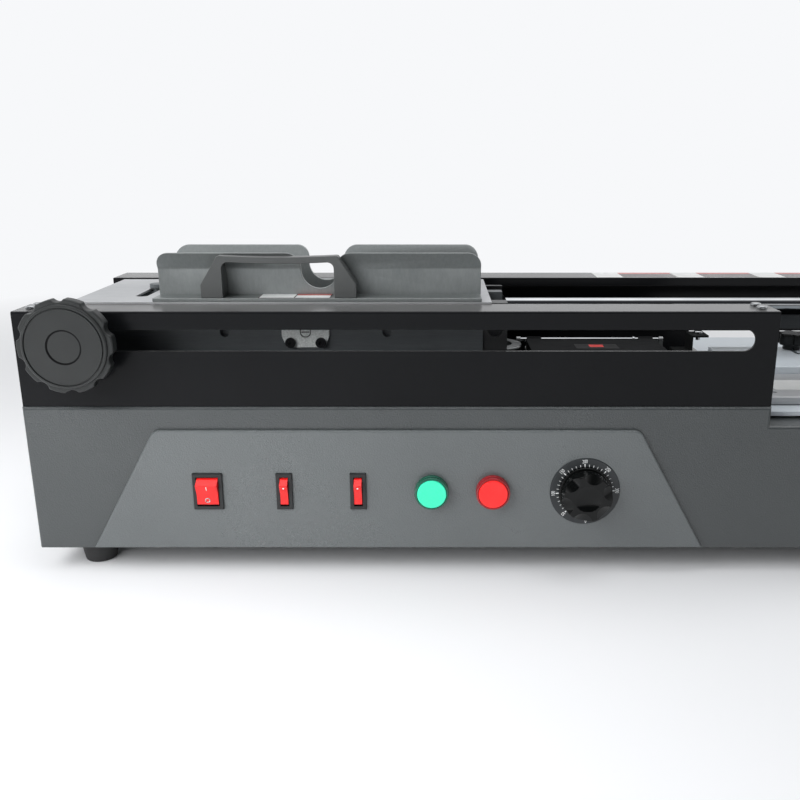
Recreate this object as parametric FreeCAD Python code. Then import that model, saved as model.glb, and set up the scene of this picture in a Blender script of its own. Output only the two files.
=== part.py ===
import FreeCAD, Part
import math
import os

# Desktop perfect binding machine: a clamp carriage carries a book over a milling cutter and a
# glue tank to a cover station. Millimetres. X runs along the cabinet from its left end, Y from
# the face of the front housing to the back, Z up from the floor. place() moves every piece to
# the part's own origin, the middle of its bounding box at floor level.

Vector = FreeCAD.Vector
X_AXIS = Vector(1, 0, 0)
Y_AXIS = Vector(0, 1, 0)
Z_AXIS = Vector(0, 0, 1)

# ---------------------------------------------------------------- driving dimensions

# cabinet
foot_height = 20.0
foot_top_radius = 16.0
foot_bottom_radius = 12.5
foot_inset_x = 38.0
foot_inset_y = 28.0
cabinet_length = 903.0
cabinet_depth = 303.0
cabinet_height = 120.5
cabinet_proud = 3.0
cabinet_sheet = 1.5
cabinet_edge_radius = 2.5
cover_deck_drop = 15.7
bottom_sheet = 1.5

# front housing and its slot
housing_length = 585.6
housing_height = 74.9
housing_flange = 34.5
housing_sheet = 2.0
housing_bend_radius = 1.6
slot_height = 16.7
slot_left = 37.0
slot_right_margin = 17.3
axis_height = 52.5

# front guide rail
rail_front = 14.0
rail_width = 16.0
rail_height = 12.0
roller_radius = 8.0
roller_width = 10.0
roller_pin_radius = 3.0
roller_gap = 0.1
roller_below_screw = 14.6
rail_foot_length = 12.0

# rear beam, rail and rod
beam_left = 12.0
beam_right_margin = 5.0
beam_front = 184.5
beam_depth = 37.5
beam_sheet = 2.0
beam_lip = 8.0
beam_bottom_height = 23.0
rear_rail_depth = 6.0
rear_rail_height = 13.0
rear_wall_length = 560.0
upright_length = 16.0
rod_radius = 6.0
rod_y = 170.0
rod_support_length = 14.0
rod_support_wall = 6.0

# carriage
plate_left = 30.0
plate_length = 338.0
plate_depth = 129.5
plate_thickness = 2.0
plate_rise = 1.4
plate_gap = 1.0
jaw_left = 97.0
jaw_length = 263.0
jaw_sheet = 3.0
jaw_wall_height = 20.4
jaw_flange_height = 14.0
jaw_flange_reach = 8.0
jaw_corner_radius = 11.0
jaw_cut_width = 30.0
jaw_cut_floor = 5.0
front_foot_depth = 20.5
rear_foot_depth = 43.0
jaw_opening = 45.0
clamp_left = 58.0
clamp_length = 303.6
clamp_depth = 40.3
front_clamp_thickness = 18.0
rear_clamp_thickness = 12.0
slide_gap = 0.5
bearing_block_length = 19.8
bearing_block_reach = 5.0
bearing_block_inset = 1.0
screw_x = 48.0
screw_radius = 6.0
running_gap = 0.05
nut_radius = 11.0
nut_length = 14.0
bearing_bar_y = 136.0
bearing_bar_thickness = 6.0
sprocket_radius = 13.7
sprocket_teeth = 14
chain_gap = 0.3
chain_thickness = 3.0
chain_width = 5.0
bushing_block_length = 36.0
bushing_block_front = 152.0
bushing_left_x = 62.0
bushing_span = 238.0
guide_slot_x = 78.4
guide_slot_width = 9.8
guide_slot_length = 56.6
guide_bolt_radius = 4.0
guide_bolt_head_radius = 6.5

# adjuster plate on the front clamp plate
adjuster_x = 217.6
adjuster_width = 38.4
adjuster_foot_width = 31.0
adjuster_taper_height = 9.0
adjuster_thickness = 2.5
adjuster_bottom = 4.8
adjuster_height = 32.0
adjuster_notch_width = 9.0
adjuster_notch_floor = 7.9
adjuster_screw_offset = 12.3
adjuster_screw_height = 3.9
socket_head_radius = 4.2
socket_head_height = 2.4
socket_shank_radius = 2.0
clamp_hole_offset = 66.0
clamp_hole_width = 7.0
clamp_hole_depth = 6.0

# handle
handle_x = 198.0
handle_length = 124.0
handle_depth = 18.0
handle_top_depth = 10.5
handle_taper_start = 17.0
handle_height = 33.5
handle_leg_width = 17.6
handle_straight_leg = 10.6
handle_slant_run = 14.5
handle_bar_thickness = 5.0
handle_bar_sag = 1.2
handle_inner_radius = 5.0
handle_groove_width = 2.0
handle_groove_depth = 1.2

# handwheel
wheel_radius = 36.0
wheel_notch_depth = 2.7
wheel_notch_radius = 6.0
wheel_turn = 15.0
wheel_lobes = 10
wheel_thickness = 19.0
wheel_rim_thickness = 9.0
wheel_neck_radius = 19.0
wheel_face_radius = 32.0
wheel_face_rise = 2.0
wheel_gap = 6.0
wheel_disc_radius = 29.8
wheel_hub_radius = 13.5
wheel_hub_slope = 1.7
wheel_hub_depth = 0.8
wheel_groove = 1.2
wheel_edge_radius = 1.4
wheel_shaft_depth = 12.0

# milling station
cutter_x = 374.0
cutter_y = 82.0
cutter_radius = 23.0
cutter_thickness = 9.5
cutter_below_clamp = 0.9
cutter_teeth = 8
cutter_pocket_depth = 2.4
cutter_pocket_height = 2.2
cutter_hub_height = 8.0
cutter_hub_radius = 11.5
arbor_depth = 30.0
arbor_end_gap = 2.0
spindle_radius = 6.0
deck_cut_depth = 30.0
deck_cut_over = 1.0
motor_radius = 27.0
motor_height = 96.0
motor_flange_width = 57.0
motor_flange_depth = 72.0
motor_flange_thickness = 3.0

# glue station
tank_left = 403.0
tank_length = 114.0
tank_front = 48.0
tank_depth = 60.0
tank_wall = 5.0
tank_floor = 6.0
tank_height = 39.7
tank_rim_below_clamp = 9.8
heater_thickness = 6.0
tank_flange_width = 8.0
tank_flange_thickness = 3.0
glue_roller_radius = 19.0
glue_roller_length = 45.0
glue_roller_spacing = 46.0
glue_roller_below_clamp = 3.0
roller_shaft_radius = 5.0
gear_module = 1.5
roller_gear_teeth = 24
pinion_teeth = 16
gear_width = 6.0
gear_gap = 3.0
lid_sheet = 1.0
lid_below_clamp = 1.7
lid_behind_gap = 8.5
hinge_below_clamp = 2.9
hinge_before_tank_back = 2.05
rod_collar_length = 2.0
rod_collar_gap = 3.0
lid_rest_gap = 0.2
hinge_rod_radius = 1.6
hinge_wall = 0.8
knuckle_length = 13.0
knuckle_inset = 1.0
lug_thickness = 3.5
gearmotor_size = 40.0
gearmotor_length = 44.0
bracket_x = 558.0
bracket_y = 130.0
bracket_width = 20.0
bracket_sheet = 2.0
bracket_rise = 29.5
bracket_flange = 16.0

# cover station
table_left = 590.0
table_front = 20.0
table_depth = 291.0
table_right_margin = 27.0
table_thickness = 3.8
table_lift = 1.7
table_spacer_radius = 6.0
platform_gap = 0.7
platform_front = 38.0
platform_depth = 78.0
platform_thickness = 6.5
platform_overlap = 8.0
platform_lift = 34.0
lever_swing = 100.0
post_radius = 6.0
post_inset_x = 33.0
post_y = 100.0
post_length = 71.0
bushing_wall = 4.0
bushing_length = 23.0
cam_shaft_y = 77.0
cam_shaft_height = 52.0
cam_shaft_radius = 8.0
cam_low_radius = 20.0
cam_hub_radius = 12.5
cam_width = 10.0
cam_nose_radius = 5.0
cam_nose_gap = 0.15
cam_inset = 88.0
cam_bearing_gap = 13.0
cam_bearing_length = 10.0
cam_bearing_wall = 12.0
fence_gap = 1.0
fence_depth = 83.0
fence_height = 13.0
fence_sheet = 2.0
fence_travel = 20.0
stud_radius = 3.0
stud_inset = 79.0
stud_back_margin = 10.0
star_knob_radius = 15.0
star_knob_height = 16.0
star_knob_lobes = 6
star_knob_notch_radius = 5.0
star_knob_notch_depth = 3.2
lever_hub_radius = 14.0
lever_hub_length = 17.0
lever_gap = 1.0
lever_length = 128.0
lever_thickness = 7.0
lever_width = 18.0
lever_grip_radius = 9.0
lever_grip_length = 62.0
lever_grip_thickness = 17.2
lever_grip_knob_extra = 2.5
lever_bolt_height = 4.0

# control panel
panel_x = 292.8
panel_top_half = 191.0
panel_bottom_half = 247.0
panel_height = 100.0
panel_bottom_margin = 1.0
panel_raise = 3.5
panel_sheet = 1.5
panel_corner_radius = 9.0
control_height = 52.0
main_switch_x = 141.8
main_bezel_width = 23.8
narrow_switch_x = 202.7
narrow_switch_spacing = 58.7
narrow_bezel_width = 13.0
bezel_height = 30.4
bezel_thickness = 2.0
bezel_frame = 3.0
switch_depth = 20.0
rocker_gap = 0.35
rocker_pivot_radius = 1.5
rocker_tilt = 13.0
rocker_ridge_forward = 7.7
rocker_ridge_height = 8.8
rocker_valley_forward = 6.2
rocker_root_depth = 5.0
green_button_x = 320.0
button_spacing = 48.6
collar_radius = 13.6
collar_height = 7.0
collar_hole_radius = 11.9
collar_groove_height = 2.4
collar_groove_width = 0.8
collar_groove_depth = 0.6
collar_edge_radius = 1.0
collar_barrel_radius = 11.0
collar_barrel_length = 26.0
collar_bore_depth = 16.0
panel_hole_gap = 0.2
button_radius = 11.6
button_rise = 7.8
button_travel = 3.0
button_edge_radius = 0.8
dial_x = 442.0
dial_ring_radius = 28.0
dial_ring_thickness = 1.2
knob_radius = 21.3
knob_skirt_height = 3.5
knob_height = 16.0
knob_body_radius = 19.8
knob_face_radius = 19.2
knob_scoops = 6
knob_first_scoop = 18.0
knob_scoop_radius = 12.0
knob_scoop_drop = 4.5
knob_dish_radius = 11.2
knob_dish_depth = 2.4
knob_dish_rim = 1.0
knob_edge_radius = 1.0
knob_cutter_length = 40.0
knob_gap = 0.4
knob_shaft_radius = 3.0
knob_shaft_depth = 10.0
thermostat_size = 40.0
thermostat_depth = 30.0

# rear of the cabinet
inlet_x = 70.0
inlet_height = 40.0
inlet_width = 48.0
inlet_tall = 28.0
chip_opening_width = 44.0
chip_opening_depth = 28.0
drawer_x = 374.0
drawer_width = 140.0
drawer_depth = 160.0
drawer_height = 62.0
drawer_bottom_margin = 22.0
drawer_sheet = 1.5
drawer_gap = 0.6
runner_sheet = 2.0
runner_gap = 0.3
vent_count = 9
vent_length = 46.0
vent_above_feet = 30.0
vent_width = 4.0
vent_pitch = 9.0
vent_margin = 34.0

# small screws
screw_head_radius = 4.2
screw_head_height = 2.6
screw_shank_radius = 2.0

# ---------------------------------------------------------------- derived places

cabinet_front = -cabinet_proud
cabinet_back = cabinet_front + cabinet_depth
bottom_top_z = foot_height + bottom_sheet
deck_z = foot_height + cabinet_height
cover_deck_z = deck_z - cover_deck_drop
housing_top_z = deck_z + housing_height
axis_z = deck_z + axis_height
slot_right = housing_length - slot_right_margin

plate_right = plate_left + plate_length
plate_front = housing_flange + plate_gap
plate_back = plate_front + plate_depth
plate_top_z = housing_top_z + plate_rise
plate_bottom_z = plate_top_z - plate_thickness
jaw_right = jaw_left + jaw_length
jaw_centre = jaw_left + jaw_length / 2
front_jaw_back = plate_front + front_foot_depth + jaw_sheet
rear_jaw_front = front_jaw_back + jaw_opening
clamp_right = clamp_left + clamp_length
clamp_bottom_z = plate_bottom_z - clamp_depth
front_clamp_front = front_jaw_back - front_clamp_thickness
left_block_front = front_clamp_front - bearing_block_reach
right_screw_x = clamp_left + clamp_right - screw_x
shaft_hole_radius = screw_radius + running_gap
carriage_travel = slot_right - slot_height / 2 - screw_x - 4.0
wheel_back = -wheel_gap
wheel_front = wheel_back - wheel_thickness
sprocket_y = bearing_bar_y + bearing_bar_thickness + 2.5
roller_z = axis_z - roller_below_screw
rail_top_z = roller_z - roller_radius - roller_gap

beam_right = cabinet_length - beam_right_margin
beam_back = beam_front + beam_depth
beam_bottom_z = deck_z + beam_bottom_height

roller_axis_z = clamp_bottom_z - glue_roller_below_clamp - glue_roller_radius
tank_rim_z = clamp_bottom_z - tank_rim_below_clamp
tank_right = tank_left + tank_length
tank_back = tank_front + tank_depth
tank_middle_x = tank_left + tank_length / 2
left_roller_x = tank_middle_x - glue_roller_spacing / 2
right_roller_x = tank_middle_x + glue_roller_spacing / 2
roller_front_y = tank_front + tank_depth / 2 - glue_roller_length / 2
roller_gear_radius = gear_module * roller_gear_teeth / 2
pinion_radius = gear_module * pinion_teeth / 2
pinion_drop = math.sqrt((roller_gear_radius + pinion_radius) ** 2 - (glue_roller_spacing / 2) ** 2)
pinion_z = roller_axis_z - pinion_drop
gear_front_y = tank_back + gear_gap
lid_top_z = clamp_bottom_z - lid_below_clamp
hinge_outer_radius = hinge_rod_radius + hinge_wall + running_gap
hinge_y = tank_back - hinge_before_tank_back
hinge_z = clamp_bottom_z - hinge_below_clamp
gearmotor_front = gear_front_y + gear_width + 2.0

table_right = cabinet_length - table_right_margin
table_bottom_z = cover_deck_z + table_lift
table_top_z = table_bottom_z + table_thickness
platform_left = jaw_left + carriage_travel - platform_overlap
platform_right = table_right - 4.0
platform_back = platform_front + platform_depth
platform_bottom_z = table_top_z + platform_gap
platform_top_z = platform_bottom_z + platform_thickness
cam_shaft_z = foot_height + cam_shaft_height
fence_front = platform_back + fence_gap
fence_back = fence_front + fence_depth
fence_top_z = platform_bottom_z + fence_height
stud_y = fence_back - stud_back_margin
lever_x = cabinet_length + lever_gap

panel_face_y = cabinet_front - panel_raise
control_z = foot_height + control_height
wall_inside_y = cabinet_front + cabinet_sheet

overall_left = 0.0
overall_right = lever_x + lever_hub_length + lever_bolt_height
overall_front = wheel_front
overall_back = max(table_front + table_depth, cabinet_back)
origin = Vector((overall_left + overall_right) / 2, (overall_front + overall_back) / 2, 0)


# ---------------------------------------------------------------- helpers

def block(x0, x1, y0, y1, z0, z1):
    """Box between two corners."""
    return Part.makeBox(x1 - x0, y1 - y0, z1 - z0, Vector(x0, y0, z0))


def rod_x(x0, x1, y, z, radius):
    return Part.makeCylinder(radius, x1 - x0, Vector(x0, y, z), X_AXIS)


def rod_y_between(x, y0, y1, z, radius):
    return Part.makeCylinder(radius, y1 - y0, Vector(x, y0, z), Y_AXIS)


def rod_z(x, y, z0, z1, radius):
    return Part.makeCylinder(radius, z1 - z0, Vector(x, y, z0), Z_AXIS)


def prism(points, direction):
    """Closed outline through points, extruded along a vector."""
    wire = Part.makePolygon(points + [points[0]])
    return Part.Face(wire).extrude(direction)


def prism_xz(outline, y0, y1):
    """Outline of (x, z) points extruded from y0 to y1."""
    return prism([Vector(x, y0, z) for x, z in outline], Vector(0, y1 - y0, 0))


def prism_yz(outline, x0, x1):
    """Outline of (y, z) points extruded from x0 to x1."""
    return prism([Vector(x0, y, z) for y, z in outline], Vector(x1 - x0, 0, 0))


def joined(first, *others):
    return first.fuse(list(others)).removeSplitter()


def together(shapes):
    """Several shapes as one tool, such as all the holes of a plate."""
    return Part.makeCompound(shapes)


def slot_along_x(x0, x1, z, height, y0, y1):
    """Round-ended slot in a wall that faces along Y."""
    half = height / 2
    middle = block(x0 + half, x1 - half, y0, y1, z - half, z + half)
    ends = [rod_y_between(x, y0, y1, z, half) for x in (x0 + half, x1 - half)]
    return joined(middle, *ends)


def slot_along_y(x, y0, y1, width, z0, z1):
    """Round-ended slot in a plate that faces along Z."""
    half = width / 2
    middle = block(x - half, x + half, y0 + half, y1 - half, z0, z1)
    ends = [rod_z(x, y, z0, z1, half) for y in (y0 + half, y1 - half)]
    return joined(middle, *ends)


def edges_where(shape, test):
    """Edges whose every end and middle point passes the test."""
    chosen = []
    for edge in shape.Edges:
        middle = edge.valueAt((edge.FirstParameter + edge.LastParameter) / 2)
        points = [vertex.Point for vertex in edge.Vertexes] + [middle]
        if all(test(point) for point in points):
            chosen.append(edge)
    return chosen


def near(a, b):
    return abs(a - b) < 0.01


def pan_screw_z(x, y, z, shank):
    """Pan-head screw standing on a surface at z, with its shank below."""
    head = rod_z(x, y, z, z + screw_head_height, screw_head_radius)
    rim = edges_where(head, lambda p: near(p.z, z + screw_head_height))
    head = head.makeFillet(screw_head_height * 0.55, rim)
    slot = block(x - screw_head_radius, x + screw_head_radius, y - 0.5, y + 0.5,
                 z + screw_head_height - 0.9, z + screw_head_height + 1)
    return joined(head.cut(slot), rod_z(x, y, z - shank, z, screw_shank_radius))


def lobed_disc(radius, lobes, notch_radius, notch_depth, thickness, edge_radius):
    """Round grip about the Z axis with evenly spaced hollows in its rim and rounded edges."""
    disc = rod_z(0, 0, 0, thickness, radius)
    reach = radius + notch_radius - notch_depth
    hollows = []
    for i in range(lobes):
        angle = 2 * math.pi * i / lobes
        hollows.append(rod_z(reach * math.cos(angle), reach * math.sin(angle), -1, thickness + 1,
                             notch_radius))
    disc = disc.cut(together(hollows))
    corners = [e for e in disc.Edges if near(e.Length, thickness)]
    disc = disc.makeFillet(notch_radius * 0.3, corners)
    rims = edges_where(disc, lambda p: near(p.z, 0)) + edges_where(disc, lambda p: near(p.z, thickness))
    return disc.makeFillet(edge_radius, rims)


def gear_outline(teeth, phase):
    """Polar outline of a spur gear with straight flanks and some backlash."""
    pitch_radius = gear_module * teeth / 2
    tip = pitch_radius + 0.85 * gear_module
    root = pitch_radius - 1.2 * gear_module
    tooth_angle = 2 * math.pi / teeth
    points = []
    for i in range(teeth):
        middle = phase + i * tooth_angle
        for share, radius in ((-0.32, root), (-0.105, tip), (0.105, tip), (0.32, root)):
            points.append((middle + share * tooth_angle, radius))
    return points


def spur_gear(x, z, y0, y1, teeth, phase, bore):
    outline = [(x + r * math.cos(a), z + r * math.sin(a)) for a, r in gear_outline(teeth, phase)]
    return prism_xz(outline, y0, y1).cut(rod_y_between(x, y0 - 1, y1 + 1, z, bore))


def place(shape):
    moved = shape.copy()
    moved.translate(-origin)
    return moved


# ---------------------------------------------------------------- cabinet

def cabinet_shell():
    """Folded sheet cabinet with a lower deck on the right, open below and behind."""
    low = bottom_top_z
    outline = [(0, low), (cabinet_length, low), (cabinet_length, cover_deck_z),
               (housing_length, cover_deck_z), (housing_length, deck_z), (0, deck_z)]
    outer = prism_xz(outline, cabinet_front, cabinet_back)
    front_edges = edges_where(outer, lambda p: near(p.y, cabinet_front) and p.z > low + 0.01)
    side_edges = edges_where(outer, lambda p: near(p.y, cabinet_front)
                             and (near(p.x, 0) or near(p.x, cabinet_length)))
    outer = outer.makeFillet(cabinet_edge_radius, front_edges + side_edges)
    sheet = cabinet_sheet
    inner = [(sheet, low - 1), (cabinet_length - sheet, low - 1),
             (cabinet_length - sheet, cover_deck_z - sheet),
             (housing_length - sheet, cover_deck_z - sheet),
             (housing_length - sheet, deck_z - sheet), (sheet, deck_z - sheet)]
    shell = outer.cut(prism_xz(inner, wall_inside_y, cabinet_back + 1))
    return shell.cut(together(deck_openings() + control_holes() + [lever_shaft_hole()]))


def deck_openings():
    """Holes in the two decks for the spindle, chips, tank, posts and cam followers."""
    low = cover_deck_z - deck_cut_depth
    high = deck_z + deck_cut_over
    spindle = rod_z(cutter_x, cutter_y, low, high, spindle_radius + 6)
    chips = block(cutter_x - chip_opening_width / 2, cutter_x + chip_opening_width / 2,
                  drawer_front_y() + 2, drawer_front_y() + 2 + chip_opening_depth, low, high)
    inset = 3.0
    tank = block(tank_left - inset, tank_right + inset, tank_front - inset,
                 gearmotor_front + gearmotor_length + inset, low, high)
    posts = [rod_z(x, post_y, low, high, post_radius + 1) for x in post_places()]
    slots = [block(x - 3, x + cam_width + 3, cam_shaft_y - 9, cam_shaft_y + 9, low, high)
             for x in cam_places()]
    return [spindle, chips, tank] + posts + slots


def drawer_front_y():
    return cabinet_back - drawer_depth


def lever_shaft_hole():
    return rod_x(cabinet_length - 5, cabinet_length + 5, cam_shaft_y, cam_shaft_z, cam_shaft_radius + 1)


def switch_places():
    """Middle and bezel width of the three rocker switches."""
    return [(main_switch_x, main_bezel_width), (narrow_switch_x, narrow_bezel_width),
            (narrow_switch_x + narrow_switch_spacing, narrow_bezel_width)]


def button_places():
    return [green_button_x, green_button_x + button_spacing]


def control_holes():
    """Cut-outs for the controls through the panel and the cabinet's front wall."""
    y0 = panel_face_y - 1
    y1 = wall_inside_y + 1
    holes = []
    for x, width in switch_places():
        half = width / 2 - 1.2
        tall = bezel_height / 2 - 1.2
        holes.append(block(x - half, x + half, y0, y1, control_z - tall, control_z + tall))
    for x in button_places():
        holes.append(rod_y_between(x, y0, y1, control_z, collar_barrel_radius + panel_hole_gap))
    holes.append(rod_y_between(dial_x, y0, y1, control_z, knob_shaft_radius + 1))
    return holes


def panel_outline(inset):
    low = foot_height + panel_bottom_margin + bottom_sheet
    high = low + panel_height
    return [(panel_x - panel_bottom_half + inset, low + inset),
            (panel_x + panel_bottom_half - inset, low + inset),
            (panel_x + panel_top_half - inset, high - inset),
            (panel_x - panel_top_half + inset, high - inset)]


def control_panel():
    """Pressed tray on the cabinet's front wall that carries the controls."""
    outer = prism_xz(panel_outline(0), panel_face_y, cabinet_front)
    top = foot_height + panel_bottom_margin + bottom_sheet + panel_height
    corners = [e for e in outer.Edges
               if e.Length < panel_raise + 0.1 and near(e.Vertexes[0].Point.z, top)]
    outer = outer.makeFillet(panel_corner_radius, corners)
    rim = edges_where(outer, lambda p: near(p.y, panel_face_y))
    outer = outer.makeFillet(panel_raise * 0.45, rim)
    inner = prism_xz(panel_outline(panel_sheet + 2), panel_face_y + panel_sheet, cabinet_front + 1)
    return outer.cut(inner).cut(together(control_holes()))


def bottom_plate():
    """Bottom sheet with the drawer's two welded runners."""
    plate = block(0, cabinet_length, cabinet_front + cabinet_edge_radius, cabinet_back,
                  foot_height, bottom_top_z)
    return joined(plate, *drawer_runners())


def drawer_runners():
    """Two angles that carry the drawer."""
    half = drawer_width / 2
    low = bottom_top_z + drawer_bottom_margin - runner_gap
    back = cabinet_back - cabinet_sheet
    runners = []
    for side in (-1, 1):
        inner = drawer_x + side * (half - 8)
        outer = drawer_x + side * (half + drawer_gap + runner_sheet)
        web = drawer_x + side * (half + drawer_gap)
        shelf = block(min(inner, outer), max(inner, outer), drawer_front_y(), back,
                      low - runner_sheet, low)
        wall = block(min(web, outer), max(web, outer), drawer_front_y(), back, bottom_top_z, low + 8)
        runners.append(joined(shelf, wall))
    return runners


def rear_cover():
    """Flat panel that closes the back, with vents, the drawer's way out and the inlet's hole."""
    sheet = cabinet_sheet
    outline = [(sheet, bottom_top_z), (cabinet_length - sheet, bottom_top_z),
               (cabinet_length - sheet, cover_deck_z - sheet),
               (housing_length - sheet, cover_deck_z - sheet),
               (housing_length - sheet, deck_z - sheet), (sheet, deck_z - sheet)]
    cover = prism_xz(outline, cabinet_back - sheet, cabinet_back)
    y0 = cabinet_back - sheet - 1
    y1 = cabinet_back + 1
    gap = drawer_gap
    low = bottom_top_z + drawer_bottom_margin
    cuts = [block(drawer_x - drawer_width / 2 - gap, drawer_x + drawer_width / 2 + gap, y0, y1,
                  low - gap, low + drawer_height + gap)]
    z = foot_height + inlet_height
    cuts.append(block(inlet_x - inlet_width / 2 + 3, inlet_x + inlet_width / 2 - 3, y0, y1,
                      z - inlet_tall / 2 + 2, z + inlet_tall / 2 - 2))
    for i in range(vent_count):
        x = housing_length + vent_margin + i * vent_pitch
        low = foot_height + vent_above_feet
        cuts.append(block(x, x + vent_width, y0, y1, low, low + vent_length))
    return cover.cut(together(cuts))


def foot_places():
    front = cabinet_front + foot_inset_y
    back = cabinet_back - foot_inset_y
    return [(x, y) for x in (foot_inset_x, cabinet_length - foot_inset_x) for y in (front, back)]


def rubber_feet():
    feet = []
    for x, y in foot_places():
        cone = Part.makeCone(foot_bottom_radius, foot_top_radius, foot_height, Vector(x, y, 0), Z_AXIS)
        rim = edges_where(cone, lambda p: near(p.z, 0))
        cone = cone.makeFillet(1.5, rim)
        feet.append(cone.cut(rod_z(x, y, -1, foot_height * 0.4, 5)))
    return Part.makeCompound(feet)


def power_inlet():
    """Appliance inlet for a mains lead, set in the rear cover."""
    z = foot_height + inlet_height
    flange = block(inlet_x - inlet_width / 2, inlet_x + inlet_width / 2, cabinet_back,
                   cabinet_back + 2.5, z - inlet_tall / 2, z + inlet_tall / 2)
    half = inlet_width / 2 - 3
    tall = inlet_tall / 2 - 2
    body = block(inlet_x - half, inlet_x + half, cabinet_back - 24, cabinet_back, z - tall, z + tall)
    well = block(inlet_x - half + 3, inlet_x + half - 3, cabinet_back - 16, cabinet_back + 5,
                 z - tall + 3, z + tall - 3)
    pins = [block(inlet_x + dx - 2, inlet_x + dx + 2, cabinet_back - 16, cabinet_back - 2,
                  z + dz - 1, z + dz + 1) for dx, dz in ((-7, -2), (7, -2), (0, 3))]
    return joined(joined(flange, body).cut(well), *pins)


# ---------------------------------------------------------------- front housing and rail

def front_housing():
    """Black folded cover with a long slot for the clamp screw's shaft."""
    outer = block(0, housing_length, 0, housing_flange, deck_z, housing_top_z)
    top_edges = edges_where(outer, lambda p: near(p.y, 0) and near(p.z, housing_top_z))
    outer = outer.makeFillet(housing_bend_radius, top_edges)
    sheet = housing_sheet
    inner = block(sheet, housing_length - sheet, sheet, housing_flange + 1,
                  deck_z - 1, housing_top_z - sheet)
    slot = slot_along_x(slot_left, slot_right, axis_z, slot_height, -1, sheet + 1)
    holes = [rod_z(x, y, housing_top_z - sheet - 1, housing_top_z + 1, screw_shank_radius)
             for x, y in housing_screw_places()]
    return outer.cut(inner).cut(together([slot] + holes))


def housing_screw_places():
    right = housing_length - 10.6
    return [(10.6, 12.5), (10.6, 25.6), (right, 12.5), (right, 25.6)]


def silver_screws():
    """Pan-head screws of the fixed frame: housing top and stop bracket."""
    screws = [pan_screw_z(x, y, housing_top_z, 8) for x, y in housing_screw_places()]
    top = deck_z + bracket_rise
    screws.append(pan_screw_z(bracket_x + bracket_flange / 2 + 1, bracket_y + bracket_width / 2, top, 6))
    return Part.makeCompound(screws)


def front_guide_rail():
    """Steel bar behind the housing on three feet; the carriage's roller runs on it."""
    back = rail_front + rail_width
    low = rail_top_z - rail_height
    left = housing_sheet
    right = housing_length - housing_sheet
    bar = block(left, right, rail_front, back, low, rail_top_z)
    feet = []
    for share in (0.03, 0.5, 0.97):
        x = left + share * (right - left) - rail_foot_length / 2
        feet.append(block(x, x + rail_foot_length, rail_front, back, deck_z, low))
    return joined(bar, *feet)


# ---------------------------------------------------------------- rear beam, wall and rod

def rear_beam():
    """Black channel open to the front, with a leg at its right end."""
    sheet = beam_sheet
    outer = block(beam_left, beam_right, beam_front, beam_back, beam_bottom_z, housing_top_z)
    hollow = block(beam_left + sheet, beam_right - sheet, beam_front + sheet, beam_back - sheet,
                   beam_bottom_z + sheet, housing_top_z - sheet)
    mouth = block(beam_left + sheet, beam_right - sheet, beam_front - 1, beam_front + sheet + 1,
                  beam_bottom_z + sheet, housing_top_z - beam_lip)
    leg = block(beam_right - upright_length, beam_right, beam_front + 8, beam_back - sheet,
                cover_deck_z, beam_bottom_z)
    return joined(outer.cut(hollow).cut(mouth), leg)


def rear_rail():
    """Grey stiffening bar that stands on the channel's lower flange."""
    front = beam_front + 0.5
    low = beam_bottom_z + beam_sheet
    return block(beam_left + beam_sheet, beam_right - beam_sheet, front, front + rear_rail_depth,
                 low, low + rear_rail_height)


def rear_wall():
    """Folded black sheet: the wall under the beam and the left end of the work space."""
    wall = block(beam_left, beam_left + rear_wall_length, beam_front + 1.5, beam_front + 3.5,
                 deck_z, beam_bottom_z)
    end = block(beam_left, beam_left + 2, housing_flange, beam_front + 1.5, deck_z, beam_bottom_z)
    return joined(wall, end)


def guide_rod():
    left = beam_left + beam_sheet
    return rod_x(left, beam_right - beam_sheet, rod_y, axis_z, rod_radius)


def rod_supports():
    """Two blocks in the channel that hold the rod's ends."""
    low = axis_z - rod_radius - rod_support_wall
    high = axis_z + rod_radius + rod_support_wall
    front = rod_y - rod_radius - rod_support_wall
    blocks = []
    for x in (beam_left + beam_sheet, beam_right - beam_sheet - rod_support_length):
        body = block(x, x + rod_support_length, front, beam_back - beam_sheet, low, high)
        blocks.append(body.cut(rod_x(x - 1, x + rod_support_length + 1, rod_y, axis_z, rod_radius)))
    return Part.makeCompound(blocks)


# ---------------------------------------------------------------- carriage

def carriage_plate():
    """Top plate with the book opening and the guide bolt's slot."""
    plate = block(plate_left, plate_right, plate_front, plate_back, plate_bottom_z, plate_top_z)
    opening = block(jaw_left + 2, jaw_right - 2, front_jaw_back,
                    rear_jaw_front + rear_clamp_thickness + 1, plate_bottom_z - 1, plate_top_z + 1)
    slot_back = guide_bolt_y() + guide_bolt_radius + 6
    slot = slot_along_y(guide_slot_x, slot_back - guide_slot_length, slot_back, guide_slot_width,
                        plate_bottom_z - 1, plate_top_z + 1)
    return plate.cut(together([opening, slot]))


def guide_bolt_y():
    return rear_jaw_front + rear_clamp_thickness / 2


def jaw_outline(low, high):
    """Two rounded lobes side by side above a common base, seen from the front."""
    y0 = plate_front - jaw_flange_reach
    y1 = plate_back + jaw_flange_reach
    half_cut = jaw_cut_width / 2
    cut_floor = low + jaw_sheet + jaw_cut_floor + half_cut
    cut = joined(block(jaw_centre - half_cut, jaw_centre + half_cut, y0 - 1, y1 + 1, cut_floor, high + 1),
                 rod_y_between(jaw_centre, y0 - 1, y1 + 1, cut_floor, half_cut))
    body = block(jaw_left, jaw_right, y0, y1, low, high).cut(cut)
    corners = [e for e in edges_where(body, lambda p: near(p.z, high)) if near(e.Length, y1 - y0)]
    return body.makeFillet(jaw_corner_radius, corners)


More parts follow.
